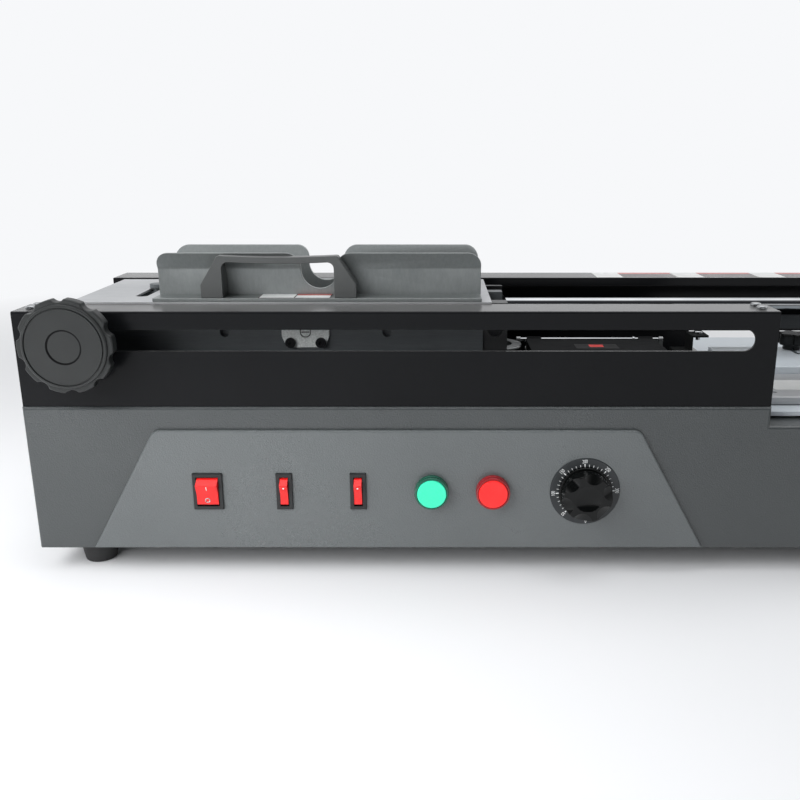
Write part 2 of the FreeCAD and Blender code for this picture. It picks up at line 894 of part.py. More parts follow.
def jaw(face_y, side, foot_z, foot_depth):
    """Bent L-plate: foot, wall and a flared flange. side is -1 for the front jaw, 1 for the rear."""
    sheet = jaw_sheet
    back = face_y + side * sheet
    bend_z = foot_z + sheet + jaw_wall_height
    top_z = bend_z + jaw_flange_height
    reach = side * jaw_flange_reach
    foot_end = face_y + side * (foot_depth + sheet)
    profile = [(face_y, foot_z), (face_y, bend_z), (face_y + reach, top_z),
               (back + reach, top_z), (back, bend_z), (back, foot_z + sheet),
               (foot_end, foot_z + sheet), (foot_end, foot_z)]
    solid = prism_yz(profile, jaw_left, jaw_right)
    return solid.common(jaw_outline(foot_z, top_z))


def front_jaw():
    return jaw(front_jaw_back, -1, plate_top_z, front_foot_depth)


def rear_jaw():
    return jaw(rear_jaw_front, 1, plate_top_z + 0.2, rear_foot_depth)


def bearing_blocks():
    """Front bearings of the two clamp screws; the left one holds the roller's pin."""
    left = block(clamp_left - bearing_block_length, clamp_left, left_block_front,
                 front_jaw_back - bearing_block_inset, clamp_bottom_z, plate_bottom_z)
    right = block(clamp_right, clamp_right + bearing_block_length, front_clamp_front + 2,
                  front_jaw_back - bearing_block_inset, clamp_bottom_z, plate_bottom_z)
    pin = rod_y_between(screw_x, rail_front + 1, left_block_front, roller_z, roller_pin_radius)
    bores = [rod_y_between(x, left_block_front - 1, front_jaw_back + 1, axis_z, shaft_hole_radius)
             for x in (screw_x, right_screw_x)]
    return together([joined(left, pin), right]).cut(together(bores))


def front_clamp_plate():
    """Fixed clamp bar under the plate, with two pockets beside the adjuster."""
    body = block(clamp_left, clamp_right, front_clamp_front, front_jaw_back, clamp_bottom_z, plate_bottom_z)
    cuts = []
    for side in (-1, 1):
        x = adjuster_x + side * clamp_hole_offset
        low_z = axis_z - 5.6
        half = clamp_hole_width / 2
        cuts.append(rod_y_between(x, front_clamp_front - 1, front_clamp_front + clamp_hole_depth,
                                  low_z + half, half))
        cuts.append(block(x - half, x + half, front_clamp_front - 1,
                          front_clamp_front + clamp_hole_depth, low_z + half, low_z + 14))
    cuts += adjuster_screw_holes(front_clamp_front - 1, front_clamp_front + 6)
    return body.cut(together(cuts))


def adjuster_screw_places():
    z = clamp_bottom_z + adjuster_bottom + adjuster_screw_height
    return [(adjuster_x + side * adjuster_screw_offset, z) for side in (-1, 1)]


def adjuster_screw_holes(y0, y1):
    return [rod_y_between(x, y0, y1, z, socket_shank_radius) for x, z in adjuster_screw_places()]


def adjuster_plate():
    """Bright plate with a U-notch and, in the notch, a slotted adjusting screw."""
    low = clamp_bottom_z + adjuster_bottom
    high = low + adjuster_height
    half = adjuster_width / 2
    foot = adjuster_foot_width / 2
    outline = [(adjuster_x - foot, low), (adjuster_x + foot, low),
               (adjuster_x + half, low + adjuster_taper_height), (adjuster_x + half, high),
               (adjuster_x - half, high), (adjuster_x - half, low + adjuster_taper_height)]
    front = front_clamp_front - adjuster_thickness
    plate = prism_xz(outline, front, front_clamp_front)
    notch_radius = adjuster_notch_width / 2
    notch_z = low + adjuster_notch_floor + notch_radius
    notch = joined(rod_y_between(adjuster_x, front - 1, front_clamp_front + 1, notch_z, notch_radius),
                   block(adjuster_x - notch_radius, adjuster_x + notch_radius, front - 1,
                         front_clamp_front + 1, notch_z, high + 1))
    plate = plate.cut(together([notch] + adjuster_screw_holes(front - 1, front_clamp_front + 1)))
    head = rod_y_between(adjuster_x, front + 0.4, front_clamp_front, notch_z, notch_radius - 0.8)
    slit = block(adjuster_x - notch_radius, adjuster_x + notch_radius, front, front + 1.2,
                 notch_z - 0.5, notch_z + 0.5)
    return Part.makeCompound([plate, head.cut(slit)])


def adjuster_screws():
    """Two black socket-head screws."""
    front = front_clamp_front - adjuster_thickness
    screws = []
    for x, z in adjuster_screw_places():
        head = rod_y_between(x, front - socket_head_height, front, z, socket_head_radius)
        corners = [(x + 1.7 * math.cos(k * math.pi / 3), z + 1.7 * math.sin(k * math.pi / 3))
                   for k in range(6)]
        socket = prism_xz(corners, front - socket_head_height - 1, front - 0.8)
        shank = rod_y_between(x, front, front_clamp_front + 6, z, socket_shank_radius)
        screws.append(joined(head.cut(socket), shank))
    return Part.makeCompound(screws)


def handle():
    """Bridge handle on the front jaw's foot."""
    foot_z = plate_top_z + jaw_sheet
    left = handle_x - handle_length / 2
    right = handle_x + handle_length / 2
    top = foot_z + handle_height
    knee = foot_z + handle_straight_leg
    y0 = plate_front + 0.5
    y1 = y0 + handle_depth
    bow = Part.Arc(Vector(right - handle_slant_run, y0, top),
                   Vector(handle_x, y0, top - handle_bar_sag),
                   Vector(left + handle_slant_run, y0, top)).toShape()
    outer_points = [Vector(left + handle_slant_run, y0, top), Vector(left, y0, knee),
                    Vector(left, y0, foot_z), Vector(left + handle_leg_width, y0, foot_z)]
    inner_top = top - handle_bar_thickness
    inner = [Vector(left + handle_leg_width, y0, inner_top),
             Vector(right - handle_leg_width, y0, inner_top),
             Vector(right - handle_leg_width, y0, foot_z), Vector(right, y0, foot_z),
             Vector(right, y0, knee), Vector(right - handle_slant_run, y0, top)]
    inner_bow = Part.Arc(inner[0], Vector(handle_x, y0, inner_top - handle_bar_sag), inner[1]).toShape()
    edges = [Part.LineSegment(a, b).toShape() for a, b in zip(outer_points, outer_points[1:])]
    edges.append(Part.LineSegment(outer_points[-1], inner[0]).toShape())
    edges.append(inner_bow)
    edges += [Part.LineSegment(a, b).toShape() for a, b in zip(inner[1:], inner[2:])]
    edges.append(bow)
    solid = Part.Face(Part.Wire(Part.__sortEdges__(edges))).extrude(Vector(0, y1 - y0, 0))
    inside = [e for e in solid.Edges if near(e.Length, handle_depth)
              and near(e.Vertexes[0].Point.z, inner_top)
              and near(abs(e.Vertexes[0].Point.x - handle_x), handle_length / 2 - handle_leg_width)]
    solid = solid.makeFillet(handle_inner_radius, inside)
    knees = [e for e in solid.Edges if near(e.Length, handle_depth)
             and (near(e.Vertexes[0].Point.z, knee) or near(e.Vertexes[0].Point.z, top))
             and abs(e.Vertexes[0].Point.x - handle_x) > handle_length / 2 - handle_slant_run - 0.1]
    solid = solid.makeFillet(2.0, knees)
    taper = foot_z + handle_taper_start
    side_view = [(y0, foot_z), (y1, foot_z), (y1, taper), (y0 + handle_top_depth, top), (y0, top)]
    solid = solid.common(prism_yz(side_view, left, right))
    return solid.cut(together([handle_groove(side, y0, knee, top) for side in (-1, 1)]))


def handle_groove(side, y0, knee, top):
    """Shallow groove along the middle of a slanted outer face."""
    outer = handle_x + side * handle_length / 2
    inner = outer - side * handle_slant_run
    run = inner - outer
    rise = top - knee
    length = math.hypot(run, rise)
    normal = (side * rise / length, abs(run) / length)
    depth = handle_groove_depth
    start = (outer + run * 0.12, knee + rise * 0.12)
    end = (outer + run * 0.88, knee + rise * 0.88)
    outline = [(start[0] + normal[0], start[1] + normal[1]), (end[0] + normal[0], end[1] + normal[1]),
               (end[0] - normal[0] * depth, end[1] - normal[1] * depth),
               (start[0] - normal[0] * depth, start[1] - normal[1] * depth)]
    middle = y0 + handle_top_depth / 2
    return prism_xz(outline, middle - handle_groove_width / 2, middle + handle_groove_width / 2)


def bushing_places():
    return [bushing_left_x, bushing_left_x + bushing_span]


def rod_bushing_blocks():
    """Two blocks under the plate that slide on the rear rod."""
    blocks = []
    back = rod_y + rod_radius + 5
    low = axis_z - rod_radius - 6
    for x in bushing_places():
        body = block(x, x + bushing_block_length, bushing_block_front, back, low, plate_bottom_z)
        bore = rod_x(x - 1, x + bushing_block_length + 1, rod_y, axis_z, rod_radius + running_gap)
        blocks.append(body.cut(bore))
    return Part.makeCompound(blocks)


def rear_bearing_bar():
    """Bar under the plate that carries the clamp screws' rear ends and guides the chain."""
    left = screw_x - 12
    right = right_screw_x + 12
    low = axis_z - 10
    back = bearing_bar_y + bearing_bar_thickness
    bar = block(left, right, bearing_bar_y, back, low, plate_bottom_z)
    inner = sprocket_radius + chain_gap
    guide = block(jaw_centre - 10, jaw_centre + 10, back, sprocket_y,
                  axis_z + inner, axis_z + inner + chain_thickness)
    bores = [rod_y_between(x, bearing_bar_y - 1, back + 1, axis_z, shaft_hole_radius)
             for x in (screw_x, right_screw_x)]
    return joined(bar, guide).cut(together(bores))


def sync_chain():
    """Closed chain that links the two clamp screws."""
    inner = sprocket_radius + chain_gap
    outer = inner + chain_thickness
    y1 = sprocket_y + chain_width
    band = slot_along_x(screw_x - outer, right_screw_x + outer, axis_z, 2 * outer, sprocket_y, y1)
    hollow = slot_along_x(screw_x - inner, right_screw_x + inner, axis_z, 2 * inner, sprocket_y - 1, y1 + 1)
    return band.cut(hollow)


def front_roller():
    """Ball bearing on the carriage's pin; it rolls on the front rail."""
    middle = rail_front + rail_width / 2
    y0 = middle - roller_width / 2
    y1 = middle + roller_width / 2
    return tube_y(screw_x, y0, y1, roller_z, roller_radius, roller_pin_radius + running_gap)


def tube_y(x, y0, y1, z, outer, inner):
    return rod_y_between(x, y0, y1, z, outer).cut(rod_y_between(x, y0 - 1, y1 + 1, z, inner))


# ---------------------------------------------------------------- moving jaw, screws, wheel

def rear_clamp_plate():
    """Moving clamp bar; its middle rises through the opening to the jaw's foot."""
    left = clamp_left - bearing_block_length
    right = clamp_right + bearing_block_length
    front = rear_jaw_front
    back = front + rear_clamp_thickness
    bar = block(left, right, front, back, clamp_bottom_z, plate_bottom_z - slide_gap)
    rib = block(jaw_left + 3, jaw_right - 3, front, back, plate_bottom_z - slide_gap, plate_top_z + 0.2)
    y = guide_bolt_y()
    bolt = rod_z(guide_slot_x, y, plate_bottom_z - slide_gap, plate_top_z + 0.5, guide_bolt_radius)
    head = rod_z(guide_slot_x, y, plate_top_z + 0.5, plate_top_z + 4, guide_bolt_head_radius)
    body = joined(bar, rib, bolt, head)
    bores = [rod_y_between(x, front - 1, back + 1, axis_z, screw_radius + 1)
             for x in (screw_x, right_screw_x)]
    return body.cut(together(bores))


def screw_nuts():
    """Two bronze nuts behind the moving clamp bar."""
    y0 = rear_jaw_front + rear_clamp_thickness
    return Part.makeCompound([tube_y(x, y0, y0 + nut_length, axis_z, nut_radius, shaft_hole_radius)
                              for x in (screw_x, right_screw_x)])


def sprocket(x):
    points = []
    for i in range(sprocket_teeth):
        for share, radius in ((-0.3, 2.0), (-0.08, 0.0), (0.08, 0.0), (0.3, 2.0)):
            angle = 2 * math.pi * (i + share) / sprocket_teeth
            r = sprocket_radius - radius
            points.append((x + r * math.cos(angle), axis_z + r * math.sin(angle)))
    return prism_xz(points, sprocket_y, sprocket_y + chain_width)


def clamp_screw(x, front):
    """Clamp screw's shaft with its chain sprocket."""
    end = sprocket_y + chain_width + 1.5
    shaft = rod_y_between(x, front, end, axis_z, screw_radius)
    return joined(shaft, sprocket(x))


def left_screw():
    return clamp_screw(screw_x, wheel_back - wheel_shaft_depth)


def right_screw():
    return clamp_screw(right_screw_x, front_clamp_front + 4)


def handwheel():
    """Ten-lobed plastic wheel with a raised face, a ring groove, a hub mark and a neck behind it."""
    rim = lobed_disc(wheel_radius, wheel_lobes, wheel_notch_radius, wheel_notch_depth,
                     wheel_rim_thickness, wheel_edge_radius)
    rim.rotate(Vector(0, 0, 0), Z_AXIS, wheel_turn)
    rim.rotate(Vector(0, 0, 0), X_AXIS, -90)
    rim_front = wheel_front + wheel_face_rise
    rim.translate(Vector(screw_x, rim_front, axis_z))
    face = rod_y_between(screw_x, wheel_front, rim_front + 1, axis_z, wheel_face_radius)
    face = face.makeFillet(wheel_edge_radius, edges_where(face, lambda p: near(p.y, wheel_front)))
    neck = rod_y_between(screw_x, rim_front + wheel_rim_thickness - 1, wheel_back, axis_z, wheel_neck_radius)
    groove = tube_y(screw_x, wheel_front - 1, wheel_front + wheel_groove, axis_z,
                    wheel_disc_radius, wheel_disc_radius - wheel_groove)
    hub_mark = Part.makeCone(wheel_hub_radius, wheel_hub_radius - wheel_hub_slope, wheel_hub_depth,
                             Vector(screw_x, wheel_front, axis_z), Y_AXIS)
    bore = rod_y_between(screw_x, wheel_back - wheel_shaft_depth, wheel_back + 1, axis_z, screw_radius)
    return joined(rim, face, neck).cut(together([groove, hub_mark, bore]))


# ---------------------------------------------------------------- milling station

def milling_motor():
    """Motor hung under the deck by its flange."""
    top = deck_z - cabinet_sheet
    half = motor_flange_width / 2
    reach = motor_flange_depth / 2
    flange = block(cutter_x - half, cutter_x + half, cutter_y - reach, cutter_y + reach,
                   top - motor_flange_thickness, top)
    low = top - motor_flange_thickness - motor_height
    body = rod_z(cutter_x, cutter_y, low, top - motor_flange_thickness, motor_radius)
    rims = edges_where(body, lambda p: near(p.z, low))
    body = body.makeFillet(4, rims)
    bore = rod_z(cutter_x, cutter_y, deck_z - cabinet_sheet - arbor_depth - arbor_end_gap, top + 1,
                 spindle_radius + running_gap)
    return joined(flange, body).cut(bore)


def milling_cutter():
    """Face cutter on its arbor: gullets round the rim and a clamping nut in a recess."""
    top = clamp_bottom_z - cutter_below_clamp
    low = top - cutter_thickness
    disc = rod_z(cutter_x, cutter_y, low, top, cutter_radius)
    recess = rod_z(cutter_x, cutter_y, top - 4, top + 1, cutter_radius * 0.62)
    disc = disc.cut(recess)
    gullets = []
    for i in range(cutter_teeth):
        gullet = block(cutter_radius - cutter_pocket_depth, cutter_radius + 2, -1.6, 1.6, 0, 5)
        gullet.rotate(Vector(0, 0, 0), Z_AXIS, 360.0 / cutter_teeth * i + 12)
        gullet.translate(Vector(cutter_x, cutter_y, top - cutter_pocket_height))
        gullets.append(gullet)
    disc = disc.cut(together(gullets))
    hub = rod_z(cutter_x, cutter_y, low - cutter_hub_height, low, cutter_hub_radius)
    arbor = rod_z(cutter_x, cutter_y, deck_z - cabinet_sheet - arbor_depth, low - cutter_hub_height,
                  spindle_radius)
    corners = [Vector(cutter_x + 7 * math.cos(k * math.pi / 3), cutter_y + 7 * math.sin(k * math.pi / 3),
                      top - 4) for k in range(6)]
    nut = prism(corners, Vector(0, 0, 3.2))
    return joined(disc, hub, arbor, nut)


# ---------------------------------------------------------------- glue station

def glue_tank():
    """Cast tank hung in the deck on two ears, with the rod's lugs and a heater plate below."""
    low = tank_rim_z - tank_height
    outer = block(tank_left, tank_right, tank_front, tank_back, low, tank_rim_z)
    wall = tank_wall
    cavity = block(tank_left + wall, tank_right - wall, tank_front + wall, tank_back - wall,
                   low + tank_floor, tank_rim_z + 1)
    body = outer.cut(cavity)
    flanges = [block(x, x + tank_flange_width, tank_front, tank_back, deck_z,
                     deck_z + tank_flange_thickness)
               for x in (tank_left - tank_flange_width, tank_right)]
    lugs = [hinge_lug(x) for x in lug_places()]
    body = joined(body, *flanges)
    body = joined(body, *lugs)
    bores = [rod_y_between(x, tank_front + 1, tank_back + 1, roller_axis_z,
                           roller_shaft_radius + running_gap)
             for x in (left_roller_x, right_roller_x)]
    rod_bore = rod_x(tank_left - 20, tank_right + 20, hinge_y, hinge_z, hinge_rod_radius)
    heater = block(tank_left + wall, tank_right - wall, tank_front + wall, tank_back - wall,
                   low - heater_thickness, low)
    return together([body.cut(together(bores + [rod_bore])), heater])


def lug_places():
    return [tank_left - tank_flange_width, tank_right + tank_flange_width - lug_thickness]


def hinge_lug(x):
    low = deck_z + tank_flange_thickness
    eye = rod_x(x, x + lug_thickness, hinge_y, hinge_z, hinge_outer_radius)
    back = min(hinge_y + hinge_outer_radius, tank_back)
    stem = block(x, x + lug_thickness, hinge_y - hinge_outer_radius, back, low, hinge_z)
    return joined(eye, stem)


def lid_hinge_rod():
    """Bright rod through the tank's lugs, with a thin collar."""
    left = lug_places()[0]
    right = lug_places()[1] + lug_thickness
    rod = rod_x(left, right, hinge_y, hinge_z, hinge_rod_radius)
    collar_end = tank_right - knuckle_inset - knuckle_length - rod_collar_gap
    collar = rod_x(collar_end - rod_collar_length, collar_end, hinge_y, hinge_z, hinge_rod_radius + 0.9)
    return joined(rod, collar)


def tank_lid():
    """Shallow sheet lid that turns on the rod."""
    top = lid_top_z
    under = top - lid_sheet
    low = tank_rim_z + lid_rest_gap
    back = tank_back - lid_behind_gap
    plate = block(tank_left, tank_right, tank_front, back, under, top)
    lips = [block(tank_left, tank_left + lid_sheet, tank_front, back, low, under),
            block(tank_right - lid_sheet, tank_right, tank_front, back, low, under),
            block(tank_left, tank_right, tank_front, tank_front + lid_sheet, low, under)]
    knuckles = []
    for x in (tank_left + knuckle_inset, tank_right - knuckle_inset - knuckle_length):
        knuckles.append(rod_x(x, x + knuckle_length, hinge_y, hinge_z, hinge_outer_radius))
        knuckles.append(block(x, x + knuckle_length, back - 1, hinge_y, under, top))
    bore = rod_x(tank_left, tank_right, hinge_y, hinge_z, hinge_rod_radius + running_gap)
    return joined(plate, *(lips + knuckles)).cut(bore)


def glue_roller(x, phase):
    """Roller with its shaft and gear in one piece."""
    drum = rod_y_between(x, roller_front_y, roller_front_y + glue_roller_length, roller_axis_z,
                         glue_roller_radius)
    shaft = rod_y_between(x, tank_front + 1.5, gear_front_y + gear_width, roller_axis_z,
                          roller_shaft_radius)
    gear = spur_gear(x, roller_axis_z, gear_front_y, gear_front_y + gear_width,
                     roller_gear_teeth, phase, roller_shaft_radius - 0.5)
    return joined(drum, shaft, gear)


def left_gear_phase():
    """A tooth of the left gear points straight at the pinion."""
    return math.atan2(-pinion_drop, glue_roller_spacing / 2)


def pinion_phase():
    return left_gear_phase() + math.pi + math.pi / pinion_teeth


def right_gear_phase():
    """Turned so that a gap meets whichever part of the pinion faces it."""
    towards = math.atan2(-pinion_drop, -glue_roller_spacing / 2)
    pitch = 2 * math.pi / pinion_teeth
    past_tooth = ((towards + math.pi - pinion_phase()) / pitch) % 1.0
    gear_pitch = 2 * math.pi / roller_gear_teeth
    return towards + (past_tooth + 0.5) * gear_pitch


def left_glue_roller():
    return glue_roller(left_roller_x, left_gear_phase())


def right_glue_roller():
    return glue_roller(right_roller_x, right_gear_phase())


def drive_pinion():
    gear = spur_gear(tank_middle_x, pinion_z, gear_front_y, gear_front_y + gear_width,
                     pinion_teeth, pinion_phase(), 2.0)
    shaft = rod_y_between(tank_middle_x, gear_front_y, gearmotor_front + 12, pinion_z, 4)
    return joined(gear, shaft)


def roller_gearmotor():
    """Small gearmotor on a plate that bridges the deck opening behind the tank."""
    half = gearmotor_size / 2
    low = pinion_z - half
    box = block(tank_middle_x - half, tank_middle_x + half, gearmotor_front,
                gearmotor_front + gearmotor_length, low, pinion_z + half)
    inset = 3.0
    plate = block(tank_left - inset, tank_right + inset, gearmotor_front, gearmotor_front + 2.5,
                  deck_z - 12, deck_z)
    bore = rod_y_between(tank_middle_x, gearmotor_front - 1, gearmotor_front + 13, pinion_z,
                         4 + running_gap)
    return joined(box, plate).cut(bore)


def stop_bracket():
    """Joggled sheet bracket on the deck behind the book's path."""
    s = bracket_sheet
    top = deck_z + bracket_rise
    step = deck_z + bracket_rise / 2
    x = bracket_x
    outline = [(x - 28, deck_z), (x - 12, deck_z), (x - 12, step - s), (x + s, step - s),
               (x + s, top - s), (x + bracket_flange, top - s), (x + bracket_flange, top),
               (x, top), (x, step), (x - 12 - s, step), (x - 12 - s, deck_z + s), (x - 28, deck_z + s)]
    body = prism_xz(outline, bracket_y, bracket_y + bracket_width)
    hole = rod_z(x + bracket_flange / 2 + 1, bracket_y + bracket_width / 2, top - s - 1, top + 1,
                 screw_shank_radius)
    return body.cut(hole)


# ---------------------------------------------------------------- cover station

def post_places():
    return [platform_left + post_inset_x, platform_right - post_inset_x]


def cam_places():
    return [platform_left + cam_inset, platform_right - cam_inset - cam_width]


def stud_places():
    return [platform_left + stud_inset, platform_right - stud_inset]


def cover_table():
    """Flat table on spacers, with two studs for the fence's knobs."""
    plate = block(table_left, table_right, table_front, table_front + table_depth,
                  table_bottom_z, table_top_z)
    spacers = []
    for x in (table_left + 15, (table_left + table_right) / 2, table_right - 15):
        for y in (table_front + 12, cabinet_back - 20):
            spacers.append(rod_z(x, y, cover_deck_z, table_bottom_z, table_spacer_radius))
    studs = [rod_z(x, stud_y, table_top_z, fence_top_z + star_knob_height - 2, stud_radius)
             for x in stud_places()]
    holes = [rod_z(x, post_y, table_bottom_z - 1, table_top_z + 1, post_radius + 1)
             for x in post_places()]
    slots = [block(x - 3, x + cam_width + 3, cam_shaft_y - 9, cam_shaft_y + 9,
                   table_bottom_z - 1, table_top_z + 1) for x in cam_places()]
    return joined(plate, *(spacers + studs)).cut(together(holes + slots))


def nip_platform():
    """Plate that lifts the cover against the book's spine, on its posts and followers."""
    plate = block(platform_left, platform_right, platform_front, platform_back,
                  platform_bottom_z, platform_top_z)
    rims = edges_where(plate, lambda p: near(p.z, platform_top_z))
    plate = plate.makeChamfer(0.8, rims)
    sockets = [rod_z(x, y, platform_top_z - 1.2, platform_top_z + 1, 2.6)
               for x, y in platform_screw_places()]
    return joined(plate.cut(together(sockets)), *platform_posts())


def platform_screw_places():
    left = platform_left + 11
    right = platform_right - 11
    return [(left, platform_front + 15), (left + 24, platform_front + 28),
            (right, platform_front + 15), (right - 24, platform_front + 28)]


def platform_posts():
    """Two round guide posts and two cam followers under the platform."""
    low = platform_bottom_z - post_length
    parts = [rod_z(x, post_y, low, platform_bottom_z, post_radius) for x in post_places()]
    nose_z = cam_shaft_z + cam_low_radius
    r = cam_nose_radius
    for x in cam_places():
        leg = block(x, x + cam_width, cam_shaft_y - r, cam_shaft_y + r, nose_z, platform_bottom_z)
        nose = rod_x(x, x + cam_width, cam_shaft_y, nose_z, r)
        parts.append(joined(leg, nose))
    return parts


def lift_bearings():
    """Bushings for the posts under the deck and two bearing stands for the cam shaft."""
    under = cover_deck_z - cabinet_sheet
    parts = []
    for x in post_places():
        sleeve = rod_z(x, post_y, under - bushing_length, under, post_radius + bushing_wall)
        collar = rod_z(x, post_y, under - 3, under, post_radius + bushing_wall + 4)
        bore = rod_z(x, post_y, under - bushing_length - 1, under + 1, post_radius + running_gap)
        parts.append(joined(sleeve, collar).cut(bore))
    half = cam_shaft_radius + cam_bearing_wall
    for x in cam_bearing_places():
        stand = block(x, x + cam_bearing_length, cam_shaft_y - half, cam_shaft_y + half,
                      bottom_top_z, cam_shaft_z + half)
        bore = rod_x(x - 1, x + cam_bearing_length + 1, cam_shaft_y, cam_shaft_z,
                     cam_shaft_radius + running_gap)
        parts.append(stand.cut(bore))
    return Part.makeCompound(parts)


def cam_bearing_places():
    return [cam_places()[0] - cam_bearing_gap - cam_bearing_length,
            cabinet_length - cabinet_sheet - cam_bearing_gap]


def cam_profile():
    """Snail cam whose follower rises evenly with the turn, in (y, z) about the shaft."""
    swing = math.radians(lever_swing)
    rate = platform_lift / swing
    offset = cam_nose_radius + cam_nose_gap
    points = []
    start = math.radians(-8)
    end = swing + math.radians(8)
    steps = 24
    for i in range(steps + 1):
        angle = start + (end - start) * i / steps
        r = cam_low_radius + rate * angle
        size = math.hypot(r, rate)
        along = r - offset * r / size
        across = offset * rate / size
        points.append(Vector(0, along * math.sin(angle) + across * math.cos(angle),
                             along * math.cos(angle) - across * math.sin(angle)))
    return points


def cam_shaft():
    """Shaft through the cabinet's right wall with two snail cams."""
    left = cam_bearing_places()[0] - 4
    shaft = rod_x(left, lever_x + lever_hub_length, cam_shaft_y, cam_shaft_z, cam_shaft_radius)
    points = cam_profile()
    curve = Part.BSplineCurve()
    curve.interpolate(points)
    exit_angle = math.radians(lever_swing + 40)
    entry_angle = math.radians(-40)
    middle_angle = math.radians(180 + (lever_swing + 40 - 40) / 2)
    hub = [Vector(0, cam_hub_radius * math.sin(a), cam_hub_radius * math.cos(a))
           for a in (exit_angle, middle_angle, entry_angle)]
    edges = [curve.toShape(), Part.LineSegment(points[-1], hub[0]).toShape(),
             Part.Arc(hub[0], hub[1], hub[2]).toShape(), Part.LineSegment(hub[2], points[0]).toShape()]
    face = Part.Face(Part.Wire(Part.__sortEdges__(edges)))
    cams = []
    for x in cam_places():
        cam = face.extrude(Vector(cam_width, 0, 0))
        cam.translate(Vector(x, cam_shaft_y, cam_shaft_z))
        cams.append(cam)
    return joined(shaft, *cams)


def nip_lever():
    """Hand lever on the end of the cam shaft."""
    hub_right = lever_x + lever_hub_length
    hub = rod_x(lever_x, hub_right, cam_shaft_y, cam_shaft_z, lever_hub_radius)
    arm_x = lever_x + (lever_hub_length - lever_thickness) / 2
    arm = block(arm_x, arm_x + lever_thickness, cam_shaft_y - lever_width / 2,
                cam_shaft_y + lever_width / 2, cam_shaft_z, cam_shaft_z + lever_length)
    corners = edges_where(arm, lambda p: near(p.z, cam_shaft_z + lever_length))
    corners = [e for e in corners if near(e.Length, lever_thickness)]
    arm = arm.makeFillet(lever_width * 0.4, corners)
    bolt = rod_x(hub_right, hub_right + lever_bolt_height, cam_shaft_y, cam_shaft_z, 6.5)
    shaft_bore = rod_x(lever_x - 1, hub_right, cam_shaft_y, cam_shaft_z, cam_shaft_radius)
    return joined(hub, arm).cut(shaft_bore).fuse(bolt).removeSplitter()


def lever_grip():
    """Plastic sleeve over the lever's upper end."""
    x = lever_x + lever_hub_length / 2
    top = cam_shaft_z + lever_length + 8
    low = top - lever_grip_length
    grip = rod_z(x, cam_shaft_y, low, top, lever_grip_radius)
    knob_radius_here = lever_grip_radius + lever_grip_knob_extra
    grip = grip.fuse(Part.makeSphere(knob_radius_here, Vector(x, cam_shaft_y, top)))
    half = lever_grip_thickness / 2
    grip = grip.common(block(x - half, x + half, cam_shaft_y - 2 * knob_radius_here,
                             cam_shaft_y + 2 * knob_radius_here, low, top + 2 * knob_radius_here))
    return grip.removeSplitter().cut(nip_lever())


def cover_fence():
    """Folded sheet fence behind the platform, slotted for two clamping studs."""
    outer = block(platform_left, platform_right, fence_front, fence_back, platform_bottom_z, fence_top_z)
    rims = edges_where(outer, lambda p: near(p.z, fence_top_z)
                       and (near(p.y, fence_front) or near(p.y, fence_back)))
    outer = outer.makeFillet(1.2, rims)
    s = fence_sheet
    hollow = block(platform_left - 1, platform_right + 1, fence_front + s, fence_back - s,
                   platform_bottom_z - 1, fence_top_z - s)
    half = stud_radius + 0.5
    slots = [slot_along_y(x, stud_y - fence_travel - half, stud_y + half, 2 * half,
                          fence_top_z - s - 1, fence_top_z + 1) for x in stud_places()]
    return outer.cut(hollow).cut(together(slots))


def star_knob(x):
    """Lobed plastic knob on a fence stud."""
    low = fence_top_z + 0.3
    neck = 5.0
    head = lobed_disc(star_knob_radius, star_knob_lobes, star_knob_notch_radius,
                      star_knob_notch_depth, star_knob_height - neck, 1.8)
    head.translate(Vector(x, stud_y, low + neck))
    body = joined(head, rod_z(x, stud_y, low, low + neck, star_knob_radius * 0.55))
    top = low + star_knob_height
    return body.cut(rod_z(x, stud_y, low - 1, top - 1.5, stud_radius + running_gap))


# ---------------------------------------------------------------- controls

def switch_housings():
    """Three rocker switch bodies with their bezels."""
    bodies = []
    for x, width in switch_places():
        half = width / 2
        tall = bezel_height / 2
        bezel = block(x - half, x + half, panel_face_y - bezel_thickness, panel_face_y,
                      control_z - tall, control_z + tall)
        rims = edges_where(bezel, lambda p: near(p.y, panel_face_y - bezel_thickness))
        bezel = bezel.makeFillet(0.8, rims)
        body = block(x - half + 1.2, x + half - 1.2, panel_face_y, panel_face_y + switch_depth,
                     control_z - tall + 1.2, control_z + tall - 1.2)
        well_half = half - bezel_frame
        well_tall = tall - bezel_frame
        well = block(x - well_half, x + well_half, panel_face_y - bezel_thickness - 1,
                     panel_face_y + 11, control_z - well_tall, control_z + well_tall)
        pivot = rod_x(x - half + 1.4, x + half - 1.4, rocker_pivot_y(), control_z,
                      rocker_pivot_radius + running_gap)
        bodies.append(joined(bezel, body).cut(together([well, pivot])))
    return Part.makeCompound(bodies)


def rocker_pivot_y():
    return panel_face_y + 2.5


def rocker(x, width, tilt):
    """Two-faced rocker on a pivot, turned to its resting side."""
    half = width / 2 - bezel_frame - rocker_gap
    reach = bezel_height / 2 - bezel_frame - rocker_gap
    pivot_y = rocker_pivot_y()
    ridge_y = pivot_y - rocker_ridge_forward
    outline = [(pivot_y, control_z + reach), (ridge_y, control_z + rocker_ridge_height),
               (pivot_y - rocker_valley_forward, control_z), (ridge_y, control_z - rocker_ridge_height),
               (pivot_y, control_z - reach), (pivot_y + rocker_root_depth, control_z)]
    body = prism_yz(outline, x - half, x + half)
    pin = rod_x(x - width / 2 + 1.6, x + width / 2 - 1.6, pivot_y, control_z, rocker_pivot_radius)
    solid = joined(body, pin)
    solid.rotate(Vector(x, pivot_y, control_z), X_AXIS, tilt)
    return solid


